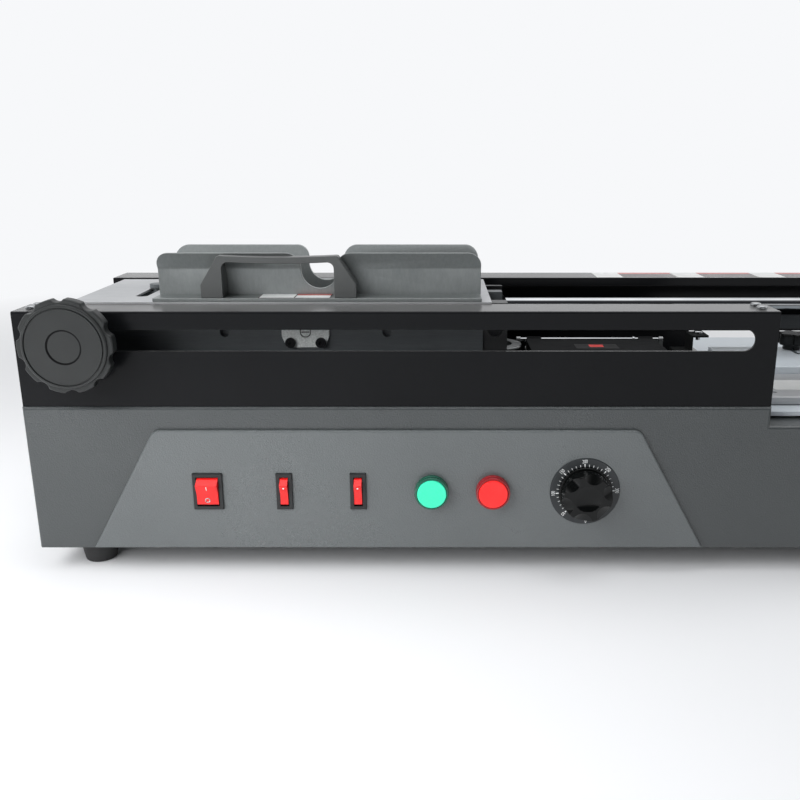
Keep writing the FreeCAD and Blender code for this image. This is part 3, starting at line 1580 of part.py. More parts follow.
def button_collars():
    """Grooved collars with round barrels behind them."""
    collars = []
    for x in button_places():
        ring = rod_y_between(x, panel_face_y - collar_height, panel_face_y, control_z, collar_radius)
        rims = edges_where(ring, lambda p: near(p.y, panel_face_y - collar_height))
        ring = ring.makeFillet(collar_edge_radius, rims)
        groove_back = panel_face_y - collar_groove_height
        groove = tube_y(x, groove_back - collar_groove_width, groove_back, control_z,
                        collar_radius + 1, collar_radius - collar_groove_depth)
        ring = ring.cut(groove)
        barrel = rod_y_between(x, panel_face_y, panel_face_y + collar_barrel_length, control_z,
                               collar_barrel_radius)
        body = joined(ring, barrel)
        mouth = rod_y_between(x, panel_face_y - collar_height - 1, panel_face_y - 0.5, control_z,
                              collar_hole_radius)
        bore = rod_y_between(x, panel_face_y - 1, panel_face_y + collar_bore_depth, control_z,
                             button_stem_radius() + running_gap)
        collars.append(body.cut(together([mouth, bore])))
    return Part.makeCompound(collars)


def button_stem_radius():
    return collar_barrel_radius - 3


def push_button(x):
    """Flat lit cap on a stem that slides in the collar's barrel."""
    skirt_back = panel_face_y - 0.5 - button_travel - 0.3
    front = panel_face_y - button_rise
    cap = rod_y_between(x, front, skirt_back, control_z, button_radius)
    rims = edges_where(cap, lambda p: near(p.y, front))
    cap = cap.makeFillet(button_edge_radius, rims)
    stem = rod_y_between(x, skirt_back, panel_face_y + 12, control_z, button_stem_radius())
    return joined(cap, stem)


def thermostat():
    """Flat scale ring on the panel and the thermostat's box behind it."""
    y0 = panel_face_y - dial_ring_thickness
    ring = rod_y_between(dial_x, y0, panel_face_y, control_z, dial_ring_radius)
    rims = edges_where(ring, lambda p: near(p.y, y0))
    ring = ring.makeChamfer(0.5, rims)
    ring = ring.cut(rod_y_between(dial_x, y0 - 1, panel_face_y + 1, control_z, knob_shaft_radius + 2))
    half = thermostat_size / 2
    box = block(dial_x - half, dial_x + half, wall_inside_y, wall_inside_y + thermostat_depth,
                control_z - half, control_z + half)
    bore = rod_y_between(dial_x, wall_inside_y - 1, wall_inside_y + knob_shaft_depth + 2, control_z,
                         knob_shaft_radius + running_gap)
    return together([ring, box.cut(bore)])


def thermostat_knob():
    """Round knob with six finger scoops and a dished face, on a thin skirt, with its shaft."""
    back = panel_face_y - dial_ring_thickness - knob_gap
    skirt_front = back - knob_skirt_height
    front = back - knob_height
    skirt = rod_y_between(dial_x, skirt_front, back, control_z, knob_radius)
    skirt = skirt.makeFillet(knob_edge_radius, edges_where(skirt, lambda p: near(p.y, skirt_front)))
    core = Part.makeCone(knob_body_radius, knob_face_radius, knob_height - knob_skirt_height,
                         Vector(dial_x, skirt_front, control_z), -Y_AXIS)
    core = core.makeFillet(knob_edge_radius, edges_where(core, lambda p: near(p.y, front)))
    core = core.cut(together([knob_scoop(i, front) for i in range(knob_scoops)]))
    ball = (knob_dish_radius ** 2 + knob_dish_depth ** 2) / (2 * knob_dish_depth)
    dish = Part.makeSphere(ball, Vector(dial_x, front + knob_dish_depth - ball, control_z))
    shaft = rod_y_between(dial_x, back, wall_inside_y + knob_shaft_depth, control_z, knob_shaft_radius)
    return joined(skirt, core.cut(dish), shaft)


def knob_scoop(index, front):
    """Round cutter that slopes from the dish's rim out to the knob's side."""
    angle = math.radians(knob_first_scoop + 360 * index / knob_scoops)
    outward = Vector(math.cos(angle), 0, math.sin(angle))
    run = knob_face_radius - knob_dish_radius - knob_dish_rim
    along = outward * run + Y_AXIS * knob_scoop_drop
    along.normalize()
    away = outward * knob_scoop_drop - Y_AXIS * run
    away.normalize()
    rim = Vector(dial_x, front, control_z) + outward * (knob_dish_radius + knob_dish_rim)
    start = rim + away * knob_scoop_radius - along * knob_cutter_length / 2
    return Part.makeCylinder(knob_scoop_radius, knob_cutter_length, start, along)


# ---------------------------------------------------------------- chip drawer

def chip_drawer():
    """Open sheet drawer for paper dust, pulled out at the back."""
    half = drawer_width / 2
    low = bottom_top_z + drawer_bottom_margin
    high = low + drawer_height
    s = drawer_sheet
    y0 = drawer_front_y()
    box = block(drawer_x - half, drawer_x + half, y0, cabinet_back, low, high)
    hollow = block(drawer_x - half + s, drawer_x + half - s, y0 + s, cabinet_back - s, low + s, high + 1)
    pull = block(drawer_x - 25, drawer_x + 25, cabinet_back, cabinet_back + 8, high - 16, high - 12)
    lip = block(drawer_x - 25, drawer_x + 25, cabinet_back + 6, cabinet_back + 8, high - 22, high - 16)
    return joined(box.cut(hollow), pull, lip)


# ---------------------------------------------------------------- output

narrow_places = [x for x, width in switch_places()][1:]

nodes = {
    "cabinet_shell": cabinet_shell,
    "control_panel": control_panel,
    "bottom_plate": bottom_plate,
    "rear_cover": rear_cover,
    "rubber_feet": rubber_feet,
    "power_inlet": power_inlet,
    "front_housing": front_housing,
    "silver_screws": silver_screws,
    "front_guide_rail": front_guide_rail,
    "rear_beam": rear_beam,
    "rear_rail": rear_rail,
    "rear_wall": rear_wall,
    "guide_rod": guide_rod,
    "rod_supports": rod_supports,
    "carriage_plate": carriage_plate,
    "front_jaw": front_jaw,
    "front_clamp_plate": front_clamp_plate,
    "bearing_blocks": bearing_blocks,
    "adjuster_plate": adjuster_plate,
    "adjuster_screws": adjuster_screws,
    "handle": handle,
    "rod_bushing_blocks": rod_bushing_blocks,
    "rear_bearing_bar": rear_bearing_bar,
    "sync_chain": sync_chain,
    "front_roller": front_roller,
    "rear_jaw": rear_jaw,
    "rear_clamp_plate": rear_clamp_plate,
    "screw_nuts": screw_nuts,
    "left_screw": left_screw,
    "handwheel": handwheel,
    "right_screw": right_screw,
    "milling_motor": milling_motor,
    "milling_cutter": milling_cutter,
    "glue_tank": glue_tank,
    "lid_hinge_rod": lid_hinge_rod,
    "tank_lid": tank_lid,
    "left_glue_roller": left_glue_roller,
    "right_glue_roller": right_glue_roller,
    "drive_pinion": drive_pinion,
    "roller_gearmotor": roller_gearmotor,
    "stop_bracket": stop_bracket,
    "cover_table": cover_table,
    "nip_platform": nip_platform,
    "lift_bearings": lift_bearings,
    "cam_shaft": cam_shaft,
    "nip_lever": nip_lever,
    "lever_grip": lever_grip,
    "cover_fence": cover_fence,
    "left_star_knob": lambda: star_knob(stud_places()[0]),
    "right_star_knob": lambda: star_knob(stud_places()[1]),
    "switch_housings": switch_housings,
    "main_rocker": lambda: rocker(main_switch_x, main_bezel_width, rocker_tilt),
    "left_rocker": lambda: rocker(narrow_places[0], narrow_bezel_width, rocker_tilt),
    "right_rocker": lambda: rocker(narrow_places[1], narrow_bezel_width, rocker_tilt),
    "button_collars": button_collars,
    "green_button": lambda: push_button(button_places()[0]),
    "red_button": lambda: push_button(button_places()[1]),
    "thermostat": thermostat,
    "thermostat_knob": thermostat_knob,
    "chip_drawer": chip_drawer,
}

os.makedirs("parts", exist_ok=True)
for name, build in nodes.items():
    place(build()).exportStep("parts/" + name + ".step")
print(len(nodes), "nodes, overall", round(overall_right - overall_left, 1), "x",
      round(overall_back - overall_front, 1), "x", round(plate_top_z + jaw_sheet + jaw_wall_height
                                                          + jaw_flange_height, 1))
print("carriage travel", round(carriage_travel, 2), "origin", origin.x, origin.y)
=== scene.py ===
import math

import bmesh
import bpy
from mathutils import Matrix, Vector
from mathutils.bvhtree import BVHTree


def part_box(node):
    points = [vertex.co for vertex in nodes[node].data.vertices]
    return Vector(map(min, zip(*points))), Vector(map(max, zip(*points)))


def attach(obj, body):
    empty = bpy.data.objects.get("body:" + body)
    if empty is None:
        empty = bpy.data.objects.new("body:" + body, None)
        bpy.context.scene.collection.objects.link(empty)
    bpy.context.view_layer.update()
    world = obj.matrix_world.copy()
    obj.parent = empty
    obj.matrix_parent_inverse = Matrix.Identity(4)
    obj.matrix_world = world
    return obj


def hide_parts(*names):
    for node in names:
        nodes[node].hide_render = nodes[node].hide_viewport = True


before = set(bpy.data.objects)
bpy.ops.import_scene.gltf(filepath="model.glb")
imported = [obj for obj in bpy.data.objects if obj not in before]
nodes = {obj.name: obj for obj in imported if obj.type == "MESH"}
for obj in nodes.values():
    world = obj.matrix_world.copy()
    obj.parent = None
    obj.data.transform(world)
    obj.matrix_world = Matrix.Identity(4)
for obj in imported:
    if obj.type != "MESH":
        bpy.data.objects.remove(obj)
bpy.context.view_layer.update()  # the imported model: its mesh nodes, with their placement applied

scene = bpy.context.scene
scene.view_settings.view_transform = "Standard"

millimetre = 0.001
machineOrigin = Vector((462.5, 143.0, 0.0))  # row origin in the machine's own millimetres
vectorKind, floatKind, colourKind = "NodeSocketVector", "NodeSocketFloat", "NodeSocketColor"
shapeKind, materialKind = "NodeSocketGeometry", "NodeSocketMaterial"


def at(x, y, z):  # machine millimetres to metres in the row frame
    return (Vector((x, y, z)) - machineOrigin) * millimetre


def tone(red, green, blue):  # screen values 0-255 to the linear colour a socket holds
    def linear(value):
        value /= 255
        return value / 12.92 if value <= 0.04045 else ((value + 0.055) / 1.055) ** 2.4
    return (linear(red), linear(green), linear(blue), 1.0)


def plug(tree, socket, value):
    if isinstance(value, bpy.types.NodeSocket):
        tree.links.new(value, socket)
    else:
        socket.default_value = value


def put(tree, kind, sockets=None, **settings):
    node = tree.nodes.new(kind)
    for name, value in settings.items():
        setattr(node, name, value)
    for name, value in (sockets or {}).items():
        plug(tree, node.inputs[name], value)
    return node


def newGroup(name, treeType, inputs, outputs):
    group = bpy.data.node_groups.new(name, treeType)
    for label, kind, value in inputs:
        socket = group.interface.new_socket(label, in_out="INPUT", socket_type=kind)
        if value is not None:
            socket.default_value = value
    for label, kind in outputs:
        group.interface.new_socket(label, in_out="OUTPUT", socket_type=kind)
    given = group.nodes.new("NodeGroupInput").outputs
    out = group.nodes.new("NodeGroupOutput").inputs
    return group, given, out


def remap(tree, value, low, high, fromLow=0.0, fromHigh=1.0):
    return put(tree, "ShaderNodeMapRange", {
        "Value": value, "From Min": fromLow, "From Max": fromHigh, "To Min": low,
        "To Max": high}).outputs["Result"]


def blendTones(tree, mask, first, second):
    node = put(tree, "ShaderNodeMix", data_type="RGBA")
    for index, value in ((0, mask), (6, first), (7, second)):
        plug(tree, node.inputs[index], value)
    return node.outputs[2]


def calc(tree, operation, first, second=0.0):
    return put(tree, "ShaderNodeMath", {0: first, 1: second}, operation=operation).outputs[0]


def calcVector(tree, operation, first, second):
    return put(tree, "ShaderNodeVectorMath", {0: first, 1: second}, operation=operation).outputs[0]


def noise(tree, place, scale, detail, roughness=0.5, bend=0.0):
    return put(tree, "ShaderNodeTexNoise", {
        "Vector": place, "Scale": scale, "Detail": detail, "Roughness": roughness,
        "Distortion": bend}).outputs["Fac"]


# Shared finishes: sprayed paint and moulded plastic, brushed metal, and the marks that hands leave.
grain = {"smoothness": 0.6, "fineTimes": 2.3, "fineDetail": 2.0, "driftDetail": 4.0, "driftRoughness": 0.6,
         "driftFrom": 0.32, "driftTo": 0.68, "speckMost": 0.5, "speckFrom": 0.58, "speckTo": 0.72,
         "fineInRoughness": 0.4, "fineInHeight": 0.35}
brushing = {"lineDetail": 3.0, "lineRoughness": 0.65, "lineFrom": 0.3, "lineTo": 0.7, "lineShare": 0.4,
            "driftDetail": 5.0, "driftRoughness": 0.62, "driftFrom": 0.34, "driftTo": 0.66, "driftShare": 0.6}
handling = {"smudgeDetail": 6.0, "smudgeRoughness": 0.7, "smudgeBend": 0.4, "smudgeFrom": 0.45,
            "smudgeTo": 0.72, "scuffStretch": (1.0, 1.0, 0.16), "scuffDetail": 2.0, "scuffBend": 1.6,
            "scuffFrom": 0.66, "scuffTo": 0.74}
finishOutputs = [("Tone", colourKind), ("Roughness", floatKind), ("Height", floatKind)]


def makePebbleGroup():  # orange peel of paint or the grain of a mould, with slow drifts of tone
    tree, given, out = newGroup("paintPebble", "ShaderNodeTree", [
        ("Place", vectorKind, None), ("Pebbles per metre", floatKind, 800.0),
        ("Drift per metre", floatKind, 5.0), ("Tone", colourKind, None), ("Worn tone", colourKind, None),
        ("Speck tone", colourKind, None), ("Smooth roughness", floatKind, 0.3),
        ("Rough roughness", floatKind, 0.5)], finishOutputs)
    place, pebbles = given["Place"], given["Pebbles per metre"]
    pebble = put(tree, "ShaderNodeTexVoronoi", {
        "Vector": place, "Scale": pebbles, "Smoothness": grain["smoothness"]},
        feature="SMOOTH_F1").outputs["Distance"]
    fine = noise(tree, place, calc(tree, "MULTIPLY", pebbles, grain["fineTimes"]), grain["fineDetail"])
    drift = noise(tree, place, given["Drift per metre"], grain["driftDetail"], grain["driftRoughness"])
    driftMask = remap(tree, drift, 0.0, 1.0, grain["driftFrom"], grain["driftTo"])
    speck = remap(tree, fine, 0.0, grain["speckMost"], grain["speckFrom"], grain["speckTo"])
    toned = blendTones(tree, driftMask, given["Tone"], given["Worn tone"])
    tree.links.new(blendTones(tree, speck, toned, given["Speck tone"]), out["Tone"])
    uneven = calc(tree, "ADD", driftMask, calc(tree, "MULTIPLY", fine, grain["fineInRoughness"]))
    rough = remap(tree, uneven, given["Smooth roughness"], given["Rough roughness"],
                  0.0, 1.0 + grain["fineInRoughness"])
    tree.links.new(rough, out["Roughness"])
    height = calc(tree, "ADD", calc(tree, "MULTIPLY", pebble, -1.0),
                  calc(tree, "MULTIPLY", fine, grain["fineInHeight"]))
    tree.links.new(height, out["Height"])
    return tree


def makeBrushGroup():  # fine parallel lines of rolled, ground or turned metal
    tree, given, out = newGroup("metalBrush", "ShaderNodeTree", [
        ("Place", vectorKind, None), ("Stretch", vectorKind, (30.0, 900.0, 900.0)),
        ("Drift per metre", floatKind, 9.0), ("Tone", colourKind, None), ("Dull tone", colourKind, None),
        ("Smooth roughness", floatKind, 0.25), ("Rough roughness", floatKind, 0.45)], finishOutputs)
    stretched = calcVector(tree, "MULTIPLY", given["Place"], given["Stretch"])
    lines = noise(tree, stretched, 1.0, brushing["lineDetail"], brushing["lineRoughness"])
    drift = noise(tree, given["Place"], given["Drift per metre"], brushing["driftDetail"],
                  brushing["driftRoughness"])
    lineMask = remap(tree, lines, 0.0, 1.0, brushing["lineFrom"], brushing["lineTo"])
    driftMask = remap(tree, drift, 0.0, 1.0, brushing["driftFrom"], brushing["driftTo"])
    mixed = calc(tree, "ADD", calc(tree, "MULTIPLY", lineMask, brushing["lineShare"]),
                 calc(tree, "MULTIPLY", driftMask, brushing["driftShare"]))
    tree.links.new(blendTones(tree, mixed, given["Tone"], given["Dull tone"]), out["Tone"])
    tree.links.new(remap(tree, mixed, given["Smooth roughness"], given["Rough roughness"]), out["Roughness"])
    tree.links.new(lineMask, out["Height"])
    return tree


def makeHandlingGroup():  # smudges from hands and faint scuffs, as masks
    tree, given, out = newGroup("handlingMarks", "ShaderNodeTree", [
        ("Place", vectorKind, None), ("Smudges per metre", floatKind, 14.0),
        ("Scuffs per metre", floatKind, 120.0)], [("Smudge", floatKind), ("Scuff", floatKind)])
    smudge = noise(tree, given["Place"], given["Smudges per metre"], handling["smudgeDetail"],
                   handling["smudgeRoughness"], handling["smudgeBend"])
    tree.links.new(remap(tree, smudge, 0.0, 1.0, handling["smudgeFrom"], handling["smudgeTo"]), out["Smudge"])
    longer = calcVector(tree, "MULTIPLY", given["Place"], handling["scuffStretch"])
    scuff = noise(tree, longer, given["Scuffs per metre"], handling["scuffDetail"],
                  bend=handling["scuffBend"])
    tree.links.new(remap(tree, scuff, 0.0, 1.0, handling["scuffFrom"], handling["scuffTo"]), out["Scuff"])
    return tree


paintPebble = makePebbleGroup()
metalBrush = makeBrushGroup()
handlingMarks = makeHandlingGroup()


paintWear = {"smudges": 14.0, "smudgeRoughness": 0.03, "scuff": 0.04}
metalWear = {"smudges": 18.0, "smudgeRoughness": 0.08, "scuff": 0.1, "bump": 0.25, "bumpDepth": 0.00004,
             "shader": {"Metallic": 1.0}}


def startFinish(name, look):
    finish = bpy.data.materials.new(name)
    finish.use_nodes = True
    tree = finish.node_tree
    shader = tree.nodes["Principled BSDF"]
    for socket, value in look.get("shader", {}).items():
        shader.inputs[socket].default_value = value
    place = put(tree, "ShaderNodeTexCoord").outputs["Object"]
    return finish, tree, shader, place


def endFinish(tree, shader, place, look, group):
    marks = put(tree, "ShaderNodeGroup", {"Place": place, "Smudges per metre": look["smudges"]},
                node_tree=handlingMarks)
    rough = calc(tree, "ADD", group.outputs["Roughness"],
                 calc(tree, "MULTIPLY", marks.outputs["Smudge"], look["smudgeRoughness"]))
    tree.links.new(rough, shader.inputs["Roughness"])
    toned = blendTones(tree, calc(tree, "MULTIPLY", marks.outputs["Scuff"], look["scuff"]),
                       group.outputs["Tone"], tone(*look["scuffTone"]))
    tree.links.new(toned, shader.inputs["Base Color"])
    bump = put(tree, "ShaderNodeBump", {
        "Strength": look["bump"], "Distance": look["bumpDepth"], "Height": group.outputs["Height"]})
    tree.links.new(bump.outputs["Normal"], shader.inputs["Normal"])


def paintFinish(name, look):
    look = {**paintWear, "scuffTone": look["speckTone"], **look}
    finish, tree, shader, place = startFinish(name, look)
    smooth, rough = look["roughness"]
    group = put(tree, "ShaderNodeGroup", {
        "Place": place, "Pebbles per metre": look["pebbles"], "Drift per metre": look["drift"],
        "Tone": tone(*look["tone"]), "Worn tone": tone(*look["wornTone"]),
        "Speck tone": tone(*look["speckTone"]), "Smooth roughness": smooth, "Rough roughness": rough},
        node_tree=paintPebble)
    endFinish(tree, shader, place, look, group)
    return finish


def metalFinish(name, look):
    look = {**metalWear, "scuffTone": look["dullTone"], **look}
    finish, tree, shader, place = startFinish(name, look)
    smooth, rough = look["roughness"]
    group = put(tree, "ShaderNodeGroup", {
        "Place": place, "Stretch": look["stretch"], "Drift per metre": look["drift"],
        "Tone": tone(*look["tone"]), "Dull tone": tone(*look["dullTone"]),
        "Smooth roughness": smooth, "Rough roughness": rough}, node_tree=metalBrush)
    endFinish(tree, shader, place, look, group)
    return finish


# Tones are screen values from 0 to 255, depths are metres, pebbles, drift and stretch are per metre.
# What several looks share: orange peel, grained plastic, lenses and rims, labels and stickers.
sprayed = {"pebbles": 900.0, "drift": 5.0, "roughness": (0.24, 0.34), "bump": 1.0, "bumpDepth": 0.0002}
moulded = {"pebbles": 1900.0, "drift": 22.0, "bump": 0.35, "bumpDepth": 0.00006}
glossy = {"pebbles": 900.0, "drift": 40.0, "bump": 0.05, "bumpDepth": 0.00003}
printed = {"pebbles": 1600.0, "drift": 60.0, "bump": 0.1, "bumpDepth": 0.00002}

paintLooks = {
    "cabinet_gray": {**sprayed, "tone": (61, 65, 66), "wornTone": (55, 59, 60), "speckTone": (76, 80, 81),
        "shader": {"Specular IOR Level": 0.8}},
    # The control panel's paint is the cabinet's grey painted lighter: a painted highlight for the light its
    # face catches.
    "panel_gray_lit": {**sprayed, "tone": (88, 93, 94), "wornTone": (80, 85, 86),
        "speckTone": (106, 111, 112), "shader": {"Specular IOR Level": 1.0}},
    "wheel_plastic": {**moulded, "tone": (36, 38, 38), "wornTone": (31, 33, 33),
        "speckTone": (56, 58, 58), "roughness": (0.36, 0.5)},
    "black_paint": {"tone": (15, 16, 18), "wornTone": (12, 13, 15), "speckTone": (24, 25, 28),
        "pebbles": 1100.0, "drift": 6.0, "roughness": (0.16, 0.26), "bump": 0.3, "bumpDepth": 0.0001,
        "shader": {"Specular IOR Level": 0.14, "Sheen Weight": 0.22, "Sheen Roughness": 0.4}},
    "table_gray": {"tone": (210, 218, 224), "wornTone": (200, 208, 215), "speckTone": (220, 226, 230),
        "pebbles": 900.0, "drift": 5.0, "roughness": (0.38, 0.5), "bump": 0.3, "bumpDepth": 0.00012},
    "black_plastic": {"tone": (30, 31, 32), "wornTone": (26, 27, 28), "speckTone": (42, 43, 44),
        "pebbles": 2200.0, "drift": 30.0, "roughness": (0.3, 0.42), "bump": 0.25, "bumpDepth": 0.00004},
    "scale_black": {"tone": (44, 47, 49), "wornTone": (38, 41, 43), "speckTone": (56, 59, 61),
        "pebbles": 1500.0, "drift": 30.0, "roughness": (0.36, 0.5), "bump": 0.2, "bumpDepth": 0.00004},
    "red_plastic": {**glossy, "tone": (236, 34, 32), "wornTone": (228, 26, 26),
        "speckTone": (244, 58, 52), "roughness": (0.16, 0.24), "shader": {"Coat Weight": 0.05}},
    "green_plastic": {**glossy, "tone": (54, 236, 188), "wornTone": (52, 232, 184),
        "speckTone": (96, 246, 206), "roughness": (0.16, 0.24), "shader": {"Coat Weight": 0.2}},
    "rubber": {"tone": (40, 40, 41), "wornTone": (48, 48, 48), "speckTone": (60, 60, 60),
        "pebbles": 1400.0, "drift": 60.0, "roughness": (0.6, 0.78), "bump": 0.3, "bumpDepth": 0.00008},
    "knob_gloss": {"tone": (8, 9, 9), "wornTone": (6, 7, 7), "speckTone": (12, 13, 13), "pebbles": 1800.0,
        "drift": 26.0, "roughness": (0.1, 0.18), "bump": 0.12, "bumpDepth": 0.00004,
        "shader": {"Specular IOR Level": 0.28}},
    "handle_plastic": {**moulded, "tone": (74, 76, 76), "wornTone": (68, 70, 70),
        "speckTone": (88, 90, 90), "roughness": (0.3, 0.42)},
    "zinc_plate": {"tone": (236, 240, 240), "wornTone": (196, 201, 200), "speckTone": (252, 253, 253),
        "pebbles": 1500.0, "drift": 700.0, "roughness": (0.3, 0.45), "bump": 0.5, "bumpDepth": 0.0001,
        "shader": {"Metallic": 0.0}},
    "lens_red": {**glossy, "tone": (255, 40, 38), "wornTone": (252, 30, 30), "speckTone": (255, 56, 52),
        "roughness": (0.2, 0.28)},
    "rim_green": {**glossy, "tone": (10, 86, 66), "wornTone": (8, 76, 58), "speckTone": (16, 100, 78),
        "roughness": (0.1, 0.18), "shader": {"Coat Weight": 0.6}},
    "rim_red": {**glossy, "tone": (150, 16, 26), "wornTone": (134, 12, 20), "speckTone": (164, 26, 34),
        "roughness": (0.1, 0.18), "shader": {"Coat Weight": 0.6}},
    "ink_white": {"tone": (236, 238, 238), "wornTone": (226, 229, 229), "speckTone": (242, 243, 243),
        "pebbles": 2000.0, "drift": 200.0, "roughness": (0.4, 0.5), "bump": 0.1, "bumpDepth": 0.00002},
    "label_pale": {**printed, "tone": (228, 229, 228), "wornTone": (216, 218, 217),
        "speckTone": (234, 235, 234), "roughness": (0.25, 0.35)},
    "label_red": {**printed, "tone": (190, 88, 80), "wornTone": (178, 78, 72),
        "speckTone": (200, 100, 92), "roughness": (0.25, 0.35)},
    "label_dark": {**printed, "tone": (70, 56, 56), "wornTone": (62, 50, 50), "speckTone": (80, 66, 66),
        "roughness": (0.22, 0.32)},
    "sticker_black": {**printed, "tone": (18, 18, 19), "wornTone": (15, 15, 16),
        "speckTone": (26, 26, 27), "roughness": (0.4, 0.5), "shader": {"Specular IOR Level": 0.1}},
    "sticker_red": {**printed, "tone": (214, 40, 36), "wornTone": (202, 34, 32),
        "speckTone": (222, 52, 46), "roughness": (0.3, 0.4)},
}

metalLooks = {
    "plate_steel": {"tone": (190, 191, 193), "dullTone": (170, 172, 174),
        "stretch": (40.0, 1100.0, 1100.0), "drift": 10.0, "roughness": (0.34, 0.5),
        "shader": {"Metallic": 0.55}},
    "jaw_steel": {"tone": (152, 156, 156), "dullTone": (132, 137, 137), "stretch": (420.0, 420.0, 160.0),
        "drift": 9.0, "roughness": (0.3, 0.44), "bump": 0.35, "bumpDepth": 0.00008,
        "shader": {"Metallic": 0.62}},
    "machined_steel": {"tone": (190, 191, 190), "dullTone": (156, 158, 158),
        "stretch": (900.0, 120.0, 900.0), "drift": 16.0, "roughness": (0.22, 0.4)},
    "bright_steel": {"tone": (182, 183, 184), "dullTone": (158, 160, 162),
        "stretch": (30.0, 900.0, 900.0), "drift": 20.0, "roughness": (0.08, 0.14), "bump": 0.1},
    "black_steel": {"tone": (56, 57, 59), "dullTone": (40, 41, 43), "stretch": (400.0, 400.0, 90.0),
        "drift": 16.0, "roughness": (0.34, 0.5), "shader": {"Metallic": 0.6}},
    "cast_aluminium": {"tone": (170, 172, 172), "dullTone": (144, 146, 146),
        "stretch": (500.0, 500.0, 500.0), "drift": 20.0, "roughness": (0.42, 0.6), "bump": 0.4,
        "bumpDepth": 0.0002},
    "bronze": {"tone": (196, 150, 92), "dullTone": (160, 118, 70), "stretch": (700.0, 90.0, 700.0),
        "drift": 30.0, "roughness": (0.28, 0.44)},
    "oxide_steel": {"tone": (96, 100, 103), "dullTone": (80, 84, 87), "stretch": (60.0, 700.0, 700.0),
        "drift": 12.0, "roughness": (0.36, 0.5), "shader": {"Metallic": 0.1}},
    "block_steel": {"tone": (70, 71, 72), "dullTone": (54, 55, 56), "stretch": (500.0, 500.0, 80.0),
        "drift": 14.0, "roughness": (0.34, 0.48), "shader": {"Metallic": 0.2}},
    # The stop bracket's near-black tone is partly its dark metal and partly painted shade for the shadow it
    # stands in.
    "bracket_dark_shaded": {"tone": (26, 27, 27), "dullTone": (20, 21, 21), "stretch": (200.0, 700.0, 200.0),
        "drift": 30.0, "roughness": (0.45, 0.6), "shader": {"Metallic": 0.0, "Specular IOR Level": 0.1}},
    "rail_gray": {"tone": (58, 60, 62), "dullTone": (44, 46, 48), "stretch": (30.0, 800.0, 800.0),
        "drift": 10.0, "roughness": (0.5, 0.65), "shader": {"Metallic": 0.2, "Specular IOR Level": 0.2}},
    "lid_steel": {"tone": (20, 21, 22), "dullTone": (15, 16, 17), "stretch": (60.0, 500.0, 500.0),
        "drift": 12.0, "roughness": (0.55, 0.7), "shader": {"Metallic": 0.0, "Specular IOR Level": 0.05}},
    "cutter_steel": {"tone": (150, 152, 152), "dullTone": (128, 131, 131), "stretch": (12.0, 12.0, 300.0),
        "drift": 24.0, "roughness": (0.24, 0.34), "bump": 0.03},
}

ownFinish = {  # nodes that look different from the rest of their slot
    "control_panel": "panel_gray_lit", "handwheel": "wheel_plastic", "handle": "handle_plastic",
    "left_star_knob": "knob_gloss", "right_star_knob": "knob_gloss", "thermostat_knob": "knob_gloss",
    "adjuster_plate": "zinc_plate", "red_button": "lens_red", "front_clamp_plate": "oxide_steel",
    "rear_clamp_plate": "oxide_steel", "front_guide_rail": "oxide_steel", "right_screw": "black_steel",
    "bearing_blocks": "block_steel", "rear_bearing_bar": "black_steel", "rod_bushing_blocks": "block_steel",
    "stop_bracket": "bracket_dark_shaded", "rear_rail": "rail_gray", "rod_supports": "block_steel",
    "tank_lid": "lid_steel", "milling_cutter": "cutter_steel"}

finishes = {}
for lookName, look in paintLooks.items():
    finishes[lookName] = paintFinish(lookName + "_finish", look)
for lookName, look in metalLooks.items():
    finishes[lookName] = metalFinish(lookName + "_finish", look)

nodeSlots = {}
for nodeName, node in nodes.items():
    nodeSlots[nodeName] = node.material_slots[0].material.name
    node.material_slots[0].material = finishes[ownFinish.get(nodeName, nodeSlots[nodeName])]
print("finishes set on", len(nodeSlots), "nodes")


softEdges = {"weld": 0.000002, "flat": 0.6, "sharpFrom": 32.0, "width": 0.00035, "segments": 2}
edgeWidths = {  # metres, where an edge is rounder or crisper than most
    "cabinet_shell": 0.0016, "front_housing": 0.001, "rear_beam": 0.0009, "control_panel": 0.0011,
    "handle": 0.0007, "handwheel": 0.0004, "front_jaw": 0.0005, "rear_jaw": 0.0005, "nip_lever": 0.0006,
    "carriage_plate": 0.0003, "front_clamp_plate": 0.0005, "nip_platform": 0.0006, "cover_fence": 0.0006,
    "main_rocker": 0.0005, "left_rocker": 0.0005, "right_rocker": 0.0005, "thermostat_knob": 0.0004}
leftSharp = {
    "guide_rod", "sync_chain", "left_screw", "right_screw", "rubber_feet", "screw_nuts", "drive_pinion"}


def makeSmoothTree():
    tree, given, out = newGroup("smoothFaces", "GeometryNodeTree", [("Geometry", shapeKind, None)],
                                [("Geometry", shapeKind)])
    smooth = put(tree, "GeometryNodeSetShadeSmooth", {"Geometry": given["Geometry"], "Shade Smooth": True})
    tree.links.new(smooth.outputs[0], out["Geometry"])
    return tree


smoothFaces = makeSmoothTree()


def softenEdges(name):  # joins the loose triangles and rounds the edges that catch the light
    node = nodes[name]
    weld = node.modifiers.new("weld", "WELD")
    weld.merge_threshold = softEdges["weld"]
    flat = node.modifiers.new("flat", "DECIMATE")
    flat.decimate_type = "DISSOLVE"
    flat.angle_limit = math.radians(softEdges["flat"])
    edge = node.modifiers.new("edge", "BEVEL")
    edge.width = edgeWidths.get(name, softEdges["width"])
    edge.segments = softEdges["segments"]
    edge.limit_method = "ANGLE"
    edge.angle_limit = math.radians(softEdges["sharpFrom"])
    edge.use_clamp_overlap = True
    node.modifiers.new("smooth", "NODES").node_group = smoothFaces
    node.modifiers.new("shade", "WEIGHTED_NORMAL")


for nodeName in nodes:
    if nodeName not in leftSharp:
        softenEdges(nodeName)
print("edges rounded")


